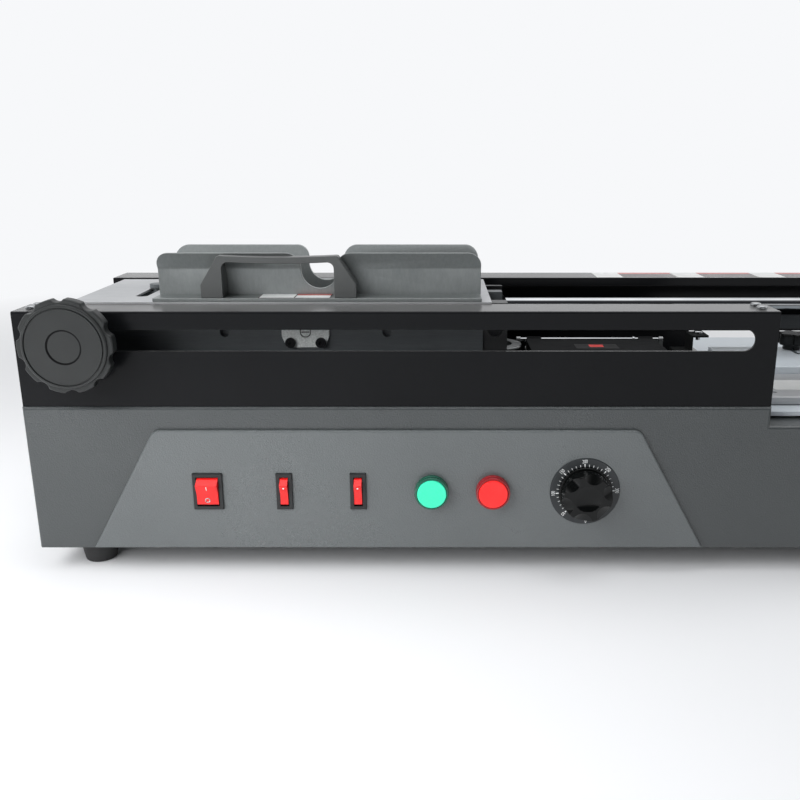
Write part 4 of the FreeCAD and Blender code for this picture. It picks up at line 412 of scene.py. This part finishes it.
room = {"floorSize": 40.0, "fadeStart": 0.62, "fadeEnd": 1.7, "floorTone": tone(244, 245, 247),
        "paperTone": tone(241, 242, 244), "paperScale": 3.0, "paperDetail": 3.0, "paperRoughness": 0.75,
        "paperSpecular": 0.2, "roomTone": tone(247, 248, 250), "frontTone": tone(58, 60, 64),
        "frontRise": 0.25, "frontFull": -0.5, "frontEdge": -0.05, "levelLight": 0.1, "overheadLight": 0.5,
        "softbox": 1.2, "softboxFrom": 0.84, "softboxFull": 0.95}
lamps = {  # edge length, power, place and aim in metres and watts
    "key": (0.8, 12.0, (-0.88, -0.7, 0.64), (-0.1, 0, 0.1)),
    "front": (1.0, 5.5, (-0.85, -1.75, 0.5), (-0.1, 0, 0.15)),
    "top": (1.4, 12.5, (0.3, 0.1, 1.9), (0, 0, 0.1))}


def backdropMask(tree):  # camera, mirror and see-through rays see the room itself, not its light
    path = put(tree, "ShaderNodeLightPath").outputs
    indirect = calc(tree, "MAXIMUM", path["Is Glossy Ray"], path["Is Transmission Ray"])
    return calc(tree, "MAXIMUM", path["Is Camera Ray"], indirect), path


def makeFloor():
    mesh = bpy.data.meshes.new("floor")
    half = room["floorSize"] / 2
    corners = [(-half, -half, 0), (half, -half, 0), (half, half, 0), (-half, half, 0)]
    mesh.from_pydata(corners, [], [(0, 1, 2, 3)])
    floor = bpy.data.objects.new("floor", mesh)
    scene.collection.objects.link(floor)
    finish = bpy.data.materials.new("floor_paper")
    finish.use_nodes = True
    tree = finish.node_tree
    place = put(tree, "ShaderNodeTexCoord").outputs["Object"]
    paper = noise(tree, place, room["paperScale"], room["paperDetail"])
    shader = tree.nodes["Principled BSDF"]
    shader.inputs["Roughness"].default_value = room["paperRoughness"]
    shader.inputs["Specular IOR Level"].default_value = room["paperSpecular"]
    toned = blendTones(tree, paper, room["floorTone"], room["paperTone"])
    tree.links.new(toned, shader.inputs["Base Color"])
    away = put(tree, "ShaderNodeVectorMath", {0: place}, operation="LENGTH").outputs["Value"]
    fade = remap(tree, away, 0.0, 1.0, room["fadeStart"], room["fadeEnd"])
    far = calc(tree, "MULTIPLY", backdropMask(tree)[0], fade)
    glow = put(tree, "ShaderNodeEmission", {"Color": room["roomTone"], "Strength": 1.0}).outputs[0]
    mixed = put(tree, "ShaderNodeMixShader", {0: far, 1: shader.outputs[0], 2: glow}).outputs[0]
    tree.links.new(mixed, tree.nodes["Material Output"].inputs["Surface"])
    mesh.materials.append(finish)


def areaLight(name, size, power, place, aim):
    lamp = bpy.data.lights.new(name, "AREA")
    lamp.shape, lamp.size, lamp.energy = "SQUARE", size, power
    obj = bpy.data.objects.new(name, lamp)
    obj.location = place
    obj.rotation_euler = (Vector(aim) - Vector(place)).to_track_quat("-Z", "Y").to_euler()
    obj.visible_glossy = False  # paint and metal mirror the room, where a softbox hangs above
    scene.collection.objects.link(obj)


def makeWorld():  # white for the camera; gloss also mirrors a dim side in front and a softbox above
    world = bpy.data.worlds.new("room")
    world.use_nodes = True
    scene.world = world
    tree = world.node_tree
    tree.nodes.clear()
    seen, path = backdropMask(tree)
    towards = put(tree, "ShaderNodeTexCoord").outputs["Generated"]
    parts = put(tree, "ShaderNodeSeparateXYZ", {"Vector": towards}).outputs
    gloss, rise = path["Is Glossy Ray"], parts["Z"]
    back = calc(tree, "ADD", parts["Y"], calc(tree, "MULTIPLY", rise, room["frontRise"]))
    front = remap(tree, back, 1.0, 0.0, room["frontFull"], room["frontEdge"])
    shown = blendTones(tree, calc(tree, "MULTIPLY", gloss, front), room["roomTone"], room["frontTone"])
    soft = remap(tree, rise, room["levelLight"], room["overheadLight"])
    light = put(tree, "ShaderNodeBackground", {"Color": room["roomTone"], "Strength": soft}).outputs[0]
    box = remap(tree, rise, 0.0, room["softbox"], room["softboxFrom"], room["softboxFull"])
    strength = calc(tree, "ADD", calc(tree, "MULTIPLY", gloss, box), 1.0)
    backdrop = put(tree, "ShaderNodeBackground", {"Color": shown, "Strength": strength}).outputs[0]
    mixed = put(tree, "ShaderNodeMixShader", {0: seen, 1: light, 2: backdrop}).outputs[0]
    put(tree, "ShaderNodeOutputWorld", {"Surface": mixed})


makeFloor()
makeWorld()
for lampName, values in lamps.items():
    areaLight(lampName, *values)

lens = {"place": (-0.1398, -0.792, 0.3318), "tilt": 74.0, "focal": 38.9, "shift": -0.044, "near": 0.01}
camera = bpy.data.objects.new("camera", bpy.data.cameras.new("camera"))
camera.location = lens["place"]
camera.rotation_euler = (math.radians(lens["tilt"]), 0, 0)
camera.data.lens = lens["focal"]
camera.data.shift_x = lens["shift"]
camera.data.clip_start = lens["near"]
scene.collection.objects.link(camera)
scene.camera = camera
print("room, lights and camera ready")


def addPiece(name, mesh, body, slot, *materials):
    piece = bpy.data.objects.new(name, mesh)
    scene.collection.objects.link(piece)
    if not mesh.materials:
        for material in materials:
            mesh.materials.append(material)
    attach(piece, body)
    return piece


mergeWithin = 1e-7  # metres


def closeMesh(name, bm, smoothBelow=35.0):
    bmesh.ops.remove_doubles(bm, verts=bm.verts, dist=mergeWithin)
    bmesh.ops.recalc_face_normals(bm, faces=bm.faces)
    for face in bm.faces:
        face.smooth = True
    for edge in bm.edges:
        if len(edge.link_faces) == 2 and edge.calc_face_angle() > math.radians(smoothBelow):
            edge.smooth = False
    mesh = bpy.data.meshes.new(name)
    bm.to_mesh(mesh)
    bm.free()
    return mesh


def circle(radius, up, steps):
    angles = [2 * math.pi * step / steps for step in range(steps)]
    return [(radius * math.cos(angle), up + radius * math.sin(angle)) for angle in angles]


def addRings(bm, profile, steps, toPoint, material=0):
    # profile of (radius, distance along the axis); toPoint(u, v, along) gives machine millimetres
    rings = [[bm.verts.new(at(*toPoint(u, v, along))) for u, v in circle(radius, 0.0, steps)]
             for radius, along in profile]
    for lower, upper in zip(rings, rings[1:]):
        for step in range(steps):
            after = (step + 1) % steps
            face = bm.faces.new((lower[step], lower[after], upper[after], upper[step]))
            face.material_index = material
    return rings


def addLathe(bm, profile, centre, steps=96, material=0):  # about an axis that points to the front
    x, y, z = centre
    addRings(bm, profile, steps, lambda across, up, forward: (x + across, y - forward, z + up), material)


def addPrism(bm, outline, low, high, toPoint, material=0):
    # outline of (u, v) pairs pushed from low to high; toPoint(u, v, w) gives machine millimetres
    floor = [bm.verts.new(at(*toPoint(u, v, low))) for u, v in outline]
    roof = [bm.verts.new(at(*toPoint(u, v, high))) for u, v in outline]
    sides = [bm.faces.new(floor), bm.faces.new(roof[::-1])]
    for index in range(len(outline)):
        after = (index + 1) % len(outline)
        sides.append(bm.faces.new((floor[index], roof[index], roof[after], floor[after])))
    for side in sides:
        side.material_index = material


def roundedOutline(left, low, right, high, corner, steps=5):
    points = []
    for x, y, turn in ((right - corner, high - corner, 0), (left + corner, high - corner, 90),
                       (left + corner, low + corner, 180), (right - corner, low + corner, 270)):
        for step in range(steps + 1):
            angle = math.radians(turn + 90 * step / steps)
            points.append((x + corner * math.cos(angle), y + corner * math.sin(angle)))
    return points


def nodeMiddle(name):  # middle of a CAD node in machine millimetres
    low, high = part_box(name)
    return (Vector(low) + Vector(high)) / 2 / millimetre + machineOrigin


collars = {"radius": 13.6, "hole": 11.9, "height": 7.0, "barrel": 11.0, "bore": 8.2, "barrelDepth": 26.0,
           "ledge": 0.5, "lip": 0.25, "lipDepth": 0.3, "panelFace": -6.5, "steps": 96, "smoothBelow": 40,
           "groove": [  # (inwards, forward)
               (0.0, 0.0), (0.0, 1.9), (0.25, 2.3), (0.7, 2.45), (0.7, 3.1), (0.3, 3.3), (0.05, 3.6)],
           "crown": [(0.1, 0.9), (0.35, 0.3), (0.8, 0.0)]}  # (inwards, down from the height)


def makeCollars():  # tinted rings round the two push buttons
    outer, hole, height = collars["radius"], collars["hole"], collars["height"]
    barrel, bore, depth = collars["barrel"], collars["bore"], collars["barrelDepth"]
    profile = [(outer - inwards, forward) for inwards, forward in collars["groove"]]
    profile += [(outer - inwards, height - down) for inwards, down in collars["crown"]]
    profile += [(hole + collars["lip"], height), (hole, height - collars["lipDepth"]),
                (hole, collars["ledge"]), (bore, collars["ledge"]), (bore, -depth), (barrel, -depth),
                (barrel, 0.0), (outer, 0.0)]
    bm = bmesh.new()
    for material, node in enumerate(("green_button", "red_button")):
        middle = nodeMiddle(node)
        addLathe(bm, profile, (middle.x, collars["panelFace"], middle.z), collars["steps"], material)
    mesh = closeMesh("button_rings", bm, collars["smoothBelow"])
    rings = addPiece("button_rings", mesh, "base", "bright_steel", finishes["rim_green"], finishes["rim_red"])
    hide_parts("button_collars")


makeCollars()
print("button collars made")


marks = {"lift": 0.05, "sink": 0.25, "strokeHalf": 0.3, "strokeLow": 2.4, "strokeHigh": 5.9,
         "ringHeight": -6.6, "ringRadius": 2.15, "ringWidth": 0.8, "ringSteps": 32, "dotHeight": 4.4,
         "dotRadius": 0.72, "dotSteps": 20, "lookFrom": -60.0}


def rockerFace(name):  # gives the face's depth in machine millimetres at a place (x, z)
    node = nodes[name]
    mesh = node.data
    tree = BVHTree.FromPolygons([node.matrix_world @ v.co for v in mesh.vertices],
                                [tuple(p.vertices) for p in mesh.polygons])

    def depthAt(x, z):
        start = at(x, marks["lookFrom"], z)
        return tree.ray_cast(start, Vector((0, 1, 0)))[0].y / millimetre + machineOrigin.y
    return depthAt


def addMark(bm, depthAt, middle, outline):
    addPrism(bm, outline, marks["sink"], -marks["lift"],
             lambda across, up, back: (middle.x + across, depthAt(middle.x + across, middle.z + up) + back,
                                       middle.z + up))


def makeRockerMarks():
    half, low, high = marks["strokeHalf"], marks["strokeLow"], marks["strokeHigh"]
    rockers = {"main_rocker": "rocker_main", "left_rocker": "rocker_1", "right_rocker": "rocker_2"}
    for name, body in rockers.items():
        middle, depthAt, bm = nodeMiddle(name), rockerFace(name), bmesh.new()
        if name == "main_rocker":
            addMark(bm, depthAt, middle, [(-half, low), (half, low), (half, high), (-half, high)])
            outer = circle(marks["ringRadius"], marks["ringHeight"], marks["ringSteps"])
            inner = circle(marks["ringRadius"] - marks["ringWidth"], marks["ringHeight"], marks["ringSteps"])
            for step in range(marks["ringSteps"]):
                after = (step + 1) % marks["ringSteps"]
                addMark(bm, depthAt, middle, [outer[step], outer[after], inner[after], inner[step]])
        else:
            addMark(bm, depthAt, middle, circle(marks["dotRadius"], marks["dotHeight"], marks["dotSteps"]))
        mesh = closeMesh(name + "_marks", bm)
        addPiece(name + "_marks", mesh, body, "red_plastic", finishes["ink_white"])


makeRockerMarks()
print("rocker marks made")


dial = {"ringFront": -7.7, "tickInner": 20.4, "tickLength": 2.5, "tickWidth": 0.44, "tickCount": 26,
        "degreesPerTick": 9.08, "firstTick": 229.0, "majorEvery": 5.0, "majorLonger": 0.2, "majorWider": 1.0,
        "numberRadius": 25.3, "numberSize": 4.3, "numberSqueeze": 0.66, "numberSteps": 3, "inkDepth": 0.08,
        "numbers": {  # each figure's angle, counted from the right
            "50": 229.0, "100": 183.6, "150": 138.2, "200": 92.8, "250": 47.4, "300": 2.0, "0": 273.4}}


def vectorOf(tree, x, y, z):
    return put(tree, "ShaderNodeCombineXYZ", {"X": x, "Y": y, "Z": z}).outputs[0]


def outputSolid(tree, instances, material, out):  # real meshes of one material
    solid = put(tree, "GeometryNodeRealizeInstances", {"Geometry": instances}).outputs[0]
    dressed = put(tree, "GeometryNodeSetMaterial", {"Geometry": solid, "Material": material}).outputs[0]
    tree.links.new(dressed, out["Geometry"])


def makeTickTree():
    tree, given, out = newGroup("ringOfBars", "GeometryNodeTree", [
        ("Count", "NodeSocketInt", 26), ("Radius", floatKind, 0.02), ("Length", floatKind, 0.002),
        ("Width", floatKind, 0.0004), ("Depth", floatKind, 0.0001), ("First angle", floatKind, 4.0),
        ("Step", floatKind, 0.16), ("Major every", floatKind, 5.0), ("Major longer", floatKind, 0.2),
        ("Major wider", floatKind, 1.0), ("Centre", vectorKind, (0, 0, 0)), ("Ink", materialKind, None)],
        [("Geometry", shapeKind)])
    index = put(tree, "GeometryNodeInputIndex").outputs[0]
    angle = calc(tree, "SUBTRACT", given["First angle"], calc(tree, "MULTIPLY", index, given["Step"]))
    major = calc(tree, "LESS_THAN", calc(tree, "MODULO", index, given["Major every"]), 0.5)
    longer = calc(tree, "ADD", 1.0, calc(tree, "MULTIPLY", major, given["Major longer"]))
    wider = calc(tree, "ADD", 1.0, calc(tree, "MULTIPLY", major, given["Major wider"]))
    half = calc(tree, "MULTIPLY", calc(tree, "MULTIPLY", longer, 0.5), given["Length"])
    reach = calc(tree, "ADD", given["Radius"], half)
    place = vectorOf(tree, calc(tree, "MULTIPLY", reach, calc(tree, "COSINE", angle)), 0.0,
                     calc(tree, "MULTIPLY", reach, calc(tree, "SINE", angle)))
    moved = calcVector(tree, "ADD", place, given["Centre"])
    points = put(tree, "GeometryNodePoints", {"Count": given["Count"], "Position": moved}).outputs[0]
    size = vectorOf(tree, given["Length"], given["Depth"], given["Width"])
    tick = put(tree, "GeometryNodeMeshCube", {"Size": size}).outputs["Mesh"]
    turn = vectorOf(tree, 0.0, calc(tree, "MULTIPLY", angle, -1.0), 0.0)
    rotation = put(tree, "FunctionNodeEulerToRotation", {"Euler": turn}).outputs[0]
    ticks = put(tree, "GeometryNodeInstanceOnPoints", {
        "Points": points, "Instance": tick, "Rotation": rotation,
        "Scale": vectorOf(tree, longer, 1.0, wider)}).outputs[0]
    outputSolid(tree, ticks, given["Ink"], out)
    return tree


def evaluatedMesh(thing):
    return bpy.data.meshes.new_from_object(thing.evaluated_get(bpy.context.evaluated_depsgraph_get()))


def meshFromNodes(name, tree, values, base=None):
    # runs a node tree on a holder object and keeps the plain mesh that it makes
    holder = bpy.data.objects.new(name + "_holder", base or bpy.data.meshes.new(name + "_holder"))
    scene.collection.objects.link(holder)
    modifier = holder.modifiers.new(name, "NODES")
    modifier.node_group = tree
    for item in tree.interface.items_tree:
        if item.in_out == "INPUT" and item.name in values:
            modifier[item.identifier] = values[item.name]
    holder.update_tag()
    mesh = evaluatedMesh(holder)
    mesh.name = name
    bpy.data.objects.remove(holder)
    return mesh


def addNumber(bm, text, centre, degrees):
    curve = bpy.data.curves.new("number", "FONT")
    curve.body, curve.align_x, curve.align_y = text, "CENTER", "CENTER"
    curve.size, curve.extrude = dial["numberSize"] * millimetre, dial["inkDepth"] / 2 * millimetre
    curve.resolution_u = dial["numberSteps"]
    writer = bpy.data.objects.new("number", curve)
    scene.collection.objects.link(writer)
    flat = evaluatedMesh(writer)
    angle = math.radians(degrees)
    outward = Matrix.Rotation(math.pi / 2 - angle, 4, "Y")  # the figure's top points away from the knob
    upright = Matrix.Rotation(math.pi / 2, 4, "X")
    spot = centre + Vector((math.cos(angle), 0, math.sin(angle))) * dial["numberRadius"] * millimetre
    narrow = Matrix.Diagonal((dial["numberSqueeze"], 1.0, 1.0, 1.0))
    flat.transform(Matrix.Translation(spot) @ outward @ upright @ narrow)
    bm.from_mesh(flat)
    bpy.data.objects.remove(writer)
    bpy.data.meshes.remove(flat)


ringOfBars = makeTickTree()


def makeScale():
    knob = nodeMiddle("thermostat_knob")
    centre = at(knob.x, dial["ringFront"], knob.z)
    ticks = meshFromNodes("scale_ticks", ringOfBars, {
        "Count": dial["tickCount"], "Radius": dial["tickInner"] * millimetre,
        "Length": dial["tickLength"] * millimetre, "Width": dial["tickWidth"] * millimetre,
        "Depth": dial["inkDepth"] * millimetre, "First angle": math.radians(dial["firstTick"]),
        "Step": math.radians(dial["degreesPerTick"]), "Major every": dial["majorEvery"],
        "Major longer": dial["majorLonger"], "Major wider": dial["majorWider"], "Centre": tuple(centre),
        "Ink": finishes["ink_white"]})
    addPiece("scale_ticks", ticks, "base", "scale_black", finishes["ink_white"])
    bm = bmesh.new()
    for text, degrees in dial["numbers"].items():
        addNumber(bm, text, centre, degrees)
    mesh = closeMesh("scale_numbers", bm)
    addPiece("scale_numbers", mesh, "base", "scale_black", finishes["ink_white"])


makeScale()
print("thermostat scale made")


plateLayers = {"sink": 0.05, "top": 0.15, "fieldLow": 0.1, "fieldTop": 0.2, "fieldCorner": 0.3,
               "fieldSteps": 2}


def level(x, y, z):  # for prisms that stand on a level outline
    return x, y, z


def makePlate(name, body, slot, area, z, corner, fields, backing):
    # a thin plate on a level surface; area is (left, front, right, back), fields are (area, finish)
    bm = bmesh.new()
    addPrism(bm, roundedOutline(*area, corner), z - plateLayers["sink"], z + plateLayers["top"], level)
    materials = [finishes[backing]]
    for fieldArea, finish in fields:
        if finishes[finish] not in materials:
            materials.append(finishes[finish])
        outline = roundedOutline(*fieldArea, plateLayers["fieldCorner"], plateLayers["fieldSteps"])
        addPrism(bm, outline, z + plateLayers["fieldLow"], z + plateLayers["fieldTop"], level,
                 materials.index(finishes[finish]))
    addPiece(name, closeMesh(name, bm), body, slot, *materials)


# Painted shade: dark rings and a slit bar in the black sticker finish, put where the hub groove and the
# screw's notch fall into shade.
shadeRings = {  # rings are (radius, forward)
    "wheel": (48.0, -25.0, 193.0),
    "hub": [(13.35, -0.03), (12.0, -0.66), (12.0, -0.95), (13.35, -0.35), (13.35, -0.03)],
    "screw": (217.6, 38.5, 191.7), "gapSteps": 48, "slitHalf": 3.4, "slitTall": 0.42, "slitFront": 1.0,
    "slitBack": 1.19, "gap": [(4.45, -1.6), (3.75, -1.6), (3.75, -2.4), (4.45, -2.4), (4.45, -1.6)]}


def makeShadeRings():  # painted shade: dark rings in the wheel's hub groove and round the adjusting screw, where shade falls
    paintedShade = finishes["sticker_black"]
    bm = bmesh.new()
    addLathe(bm, shadeRings["hub"], shadeRings["wheel"])
    addPiece("hub_groove", closeMesh("hub_groove", bm), "wheel_and_screw", "dark_plastic", paintedShade)
    x, face, z = shadeRings["screw"]
    half, tall = shadeRings["slitHalf"], shadeRings["slitTall"]
    bm = bmesh.new()
    addLathe(bm, shadeRings["gap"], shadeRings["screw"], shadeRings["gapSteps"])
    addPrism(bm, [(-half, -tall), (half, -tall), (half, tall), (-half, tall)], shadeRings["slitFront"],
             shadeRings["slitBack"], lambda across, up, back: (x + across, face + back, z + up))
    addPiece("adjuster_shade", closeMesh("adjuster_shade", bm), "carriage", "black_steel", paintedShade)


makeShadeRings()
print("shade in the grooves made")


cutter = {"x": 374.0, "y": 82.0, "top": 173.6, "low": 164.1, "radius": 23.0, "edge": 0.6, "topEdge": 0.4,
          "groove": [(0.0, 1.5), (0.25, 1.3), (0.25, 0.9), (0.0, 0.7)],  # (inwards, down)
          "recess": 14.3, "recessDepth": 4, "hubRadius": 11.5, "hubHeight": 8.0, "arborRadius": 6.0,
          "nutRadius": 7.0, "nutHeight": 3.2, "nutSides": 6, "tipCount": 8, "tipInner": 17.6,
          "tipLength": 4.6, "tipWidth": 2.2, "tipProud": 0.6, "firstTip": 0.2, "steps": 96}


def makeCutter():  # smooth cup on its arbor, with carbide tips let into the top and a nut in the recess
    x, y, top, low, radius = cutter["x"], cutter["y"], cutter["top"], cutter["low"], cutter["radius"]
    face, edge, recess = top - cutter["tipProud"] / 2, cutter["edge"], cutter["recess"]
    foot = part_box("milling_cutter")[0][2] / millimetre
    hubLow, floor = low - cutter["hubHeight"], top - cutter["recessDepth"]
    profile = [(cutter["arborRadius"], foot), (cutter["arborRadius"], hubLow), (cutter["hubRadius"], hubLow),
               (cutter["hubRadius"], low), (radius - edge, low), (radius, low + edge)]
    profile += [(radius - inwards, face - down) for inwards, down in cutter["groove"]]
    profile += [(radius - cutter["topEdge"], face), (recess + edge, face), (recess, face - edge),
                (recess, floor)]
    bm = bmesh.new()
    rings = addRings(bm, profile, cutter["steps"], lambda u, v, height: (x + u, y + v, height))
    bm.faces.new(rings[0][::-1])
    bm.faces.new(rings[-1])
    addPrism(bm, circle(cutter["nutRadius"], 0.0, cutter["nutSides"]), floor, floor + cutter["nutHeight"],
             lambda u, v, height: (x + u, y + v, height))
    slot = nodeSlots["milling_cutter"]
    head = addPiece("cutter_head", closeMesh("cutter_head", bm), "cutter", slot, finishes["cutter_steel"])
    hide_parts("milling_cutter")
    tips = meshFromNodes("cutter_tips", ringOfBars, {
        "Count": cutter["tipCount"], "Radius": cutter["tipInner"] * millimetre,
        "Length": cutter["tipLength"] * millimetre, "Width": cutter["tipWidth"] * millimetre,
        "Depth": cutter["tipProud"] * millimetre, "First angle": cutter["firstTip"],
        "Step": 2 * math.pi / cutter["tipCount"], "Major longer": 0.0, "Major wider": 0.0,
        "Ink": finishes["machined_steel"]})
    tips.transform(Matrix.Translation(at(x, y, face)) @ Matrix.Rotation(-math.pi / 2, 4, "X"))
    addPiece("cutter_tips", tips, "cutter", slot, finishes["machined_steel"])


makeCutter()
print("milling cutter made")


beamPlates = {"first": 479.3, "pitch": 78.7, "count": 5, "paleWidth": 25.4, "front": 187.0, "back": 220.0,
              "top": 215.4, "redDepth": 10.0, "edge": 0.6}
smallPlates = {  # body, slot, area, height, corner, fields and backing
    "jaw_plate": ("carriage", "jaw_steel", (181, 36.8, 239, 56.6), 219.8, 1.0,
                  [((181.8, 37.6, 209.6, 55.8), "ink_white"), ((210.6, 37.6, 238.2, 49.4), "ink_white"),
                   ((210.6, 49.8, 238.2, 55.8), "label_red")], "label_dark"),
    "lid_plate": ("lid", "black_steel", (442, 62, 478, 80), 172.8, 1.5, [((454, 68, 466, 77), "sticker_red")],
                  "sticker_black"),
    "platform_plate": ("platform", "table_gray", (612, 60, 648, 92), 137.5, 1.5, [], "label_pale")}


def makePlates():
    front, back, edge = beamPlates["front"], beamPlates["back"], beamPlates["edge"]
    for index in range(beamPlates["count"]):
        left = beamPlates["first"] + index * beamPlates["pitch"]
        right, split = left + beamPlates["pitch"], left + beamPlates["paleWidth"]
        step = back - beamPlates["redDepth"]
        makePlate("beam_plate_" + str(index + 1), "base", "black_paint", (left, front, right - edge, back),
                  beamPlates["top"], edge,
                  [((split, front + edge, right - 2 * edge, step), "label_dark"),
                   ((split, step + edge, right - 2 * edge, back - edge), "label_red")], "label_pale")
    for name, (body, slot, area, z, corner, fields, backing) in smallPlates.items():
        makePlate(name, body, slot, area, z, corner, fields, backing)


makePlates()
print("plates made")


chain = {"left": 48.0, "right": 371.6, "height": 193.0, "depth": 147.0, "radius": 15.5, "pitch": 6.35,
         "plateLength": 4.9, "plateTall": 2.9, "plateThickness": 0.75, "plateRound": 0.98, "plateSteps": 3,
         "pinRadius": 1.0, "rollerRadius": 1.25, "pinSides": 8, "innerGap": 0.9, "outerGap": 1.65,
         "bendSteps": 24}


def makeLink(name, halfGap, rollerRadius):
    bm = bmesh.new()
    long, tall, rise = chain["plateLength"], chain["plateTall"], chain["plateThickness"] / 2
    outline = roundedOutline(-long, -tall, long, tall, tall * chain["plateRound"], chain["plateSteps"])
    shift = machineOrigin  # a link is made at the row frame's origin
    for side in (-1, 1):
        middle = side * (halfGap + rise)
        addPrism(bm, outline, middle - rise, middle + rise,
                 lambda along, up, across: (shift.x + along, shift.y + across, shift.z + up))
    for end in (-1, 1):
        place = Matrix.Translation((end * chain["pitch"] / 2 * millimetre, 0, 0))
        bmesh.ops.create_cone(bm, cap_ends=True, segments=chain["pinSides"],
                              radius1=rollerRadius * millimetre, radius2=rollerRadius * millimetre,
                              depth=2 * halfGap * millimetre,
                              matrix=place @ Matrix.Rotation(math.pi / 2, 4, "X"))
    link = bpy.data.objects.new(name, closeMesh(name, bm))
    scene.collection.objects.link(link)
    return link


def makeChainTree():
    tree, given, out = newGroup("chainLinks", "GeometryNodeTree", [
        ("Path", shapeKind, None), ("Links", "NodeSocketInt", 100), ("Inner link", "NodeSocketObject", None),
        ("Outer link", "NodeSocketObject", None), ("Steel", materialKind, None)], [("Geometry", shapeKind)])
    curve = put(tree, "GeometryNodeMeshToCurve", {"Mesh": given["Path"]}).outputs[0]
    spaced = put(tree, "GeometryNodeResampleCurve", {"Curve": curve, "Count": given["Links"]}).outputs[0]
    tangent = put(tree, "GeometryNodeInputTangent").outputs[0]
    along = put(tree, "FunctionNodeAxesToRotation", {
        "Primary Axis": tangent, "Secondary Axis": (0.0, 1.0, 0.0)}, primary_axis="X", secondary_axis="Y")
    index = put(tree, "GeometryNodeInputIndex").outputs[0]
    other = calc(tree, "MODULO", index, 2.0)
    joined = put(tree, "GeometryNodeJoinGeometry")
    for kind, link in (("GREATER_THAN", "Inner link"), ("LESS_THAN", "Outer link")):
        shape = put(tree, "GeometryNodeObjectInfo", {"Object": given[link]}).outputs["Geometry"]
        placed = put(tree, "GeometryNodeInstanceOnPoints", {
            "Points": spaced, "Selection": calc(tree, kind, other, 0.5), "Instance": shape,
            "Rotation": along.outputs[0]}).outputs[0]
        tree.links.new(placed, joined.inputs[0])
    outputSolid(tree, joined.outputs[0], given["Steel"], out)
    return tree


def makeChain():
    radius, depth, bend = chain["radius"], chain["depth"], chain["bendSteps"]
    points = []
    for centre, start in ((chain["right"], -90), (chain["left"], 90)):
        for step in range(bend + 1):
            angle = math.radians(start + 180 * step / bend)
            points.append(at(centre + radius * math.cos(angle), depth,
                             chain["height"] + radius * math.sin(angle)))
    path = bpy.data.meshes.new("chain_path")
    path.from_pydata(points, [(k, (k + 1) % len(points)) for k in range(len(points))], [])
    length = 2 * (chain["right"] - chain["left"]) + 2 * math.pi * radius
    inner = makeLink("inner_link", chain["innerGap"], chain["rollerRadius"])
    outer = makeLink("outer_link", chain["outerGap"], chain["pinRadius"])
    mesh = meshFromNodes("roller_chain", makeChainTree(), {
        "Links": 2 * round(length / chain["pitch"] / 2), "Inner link": inner, "Outer link": outer,
        "Steel": finishes["black_steel"]}, path)
    for link in (inner, outer):
        bpy.data.objects.remove(link)
    piece = addPiece("roller_chain", mesh, "carriage", "black_steel", finishes["black_steel"])
    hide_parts("sync_chain")


makeChain()
print("chain made")
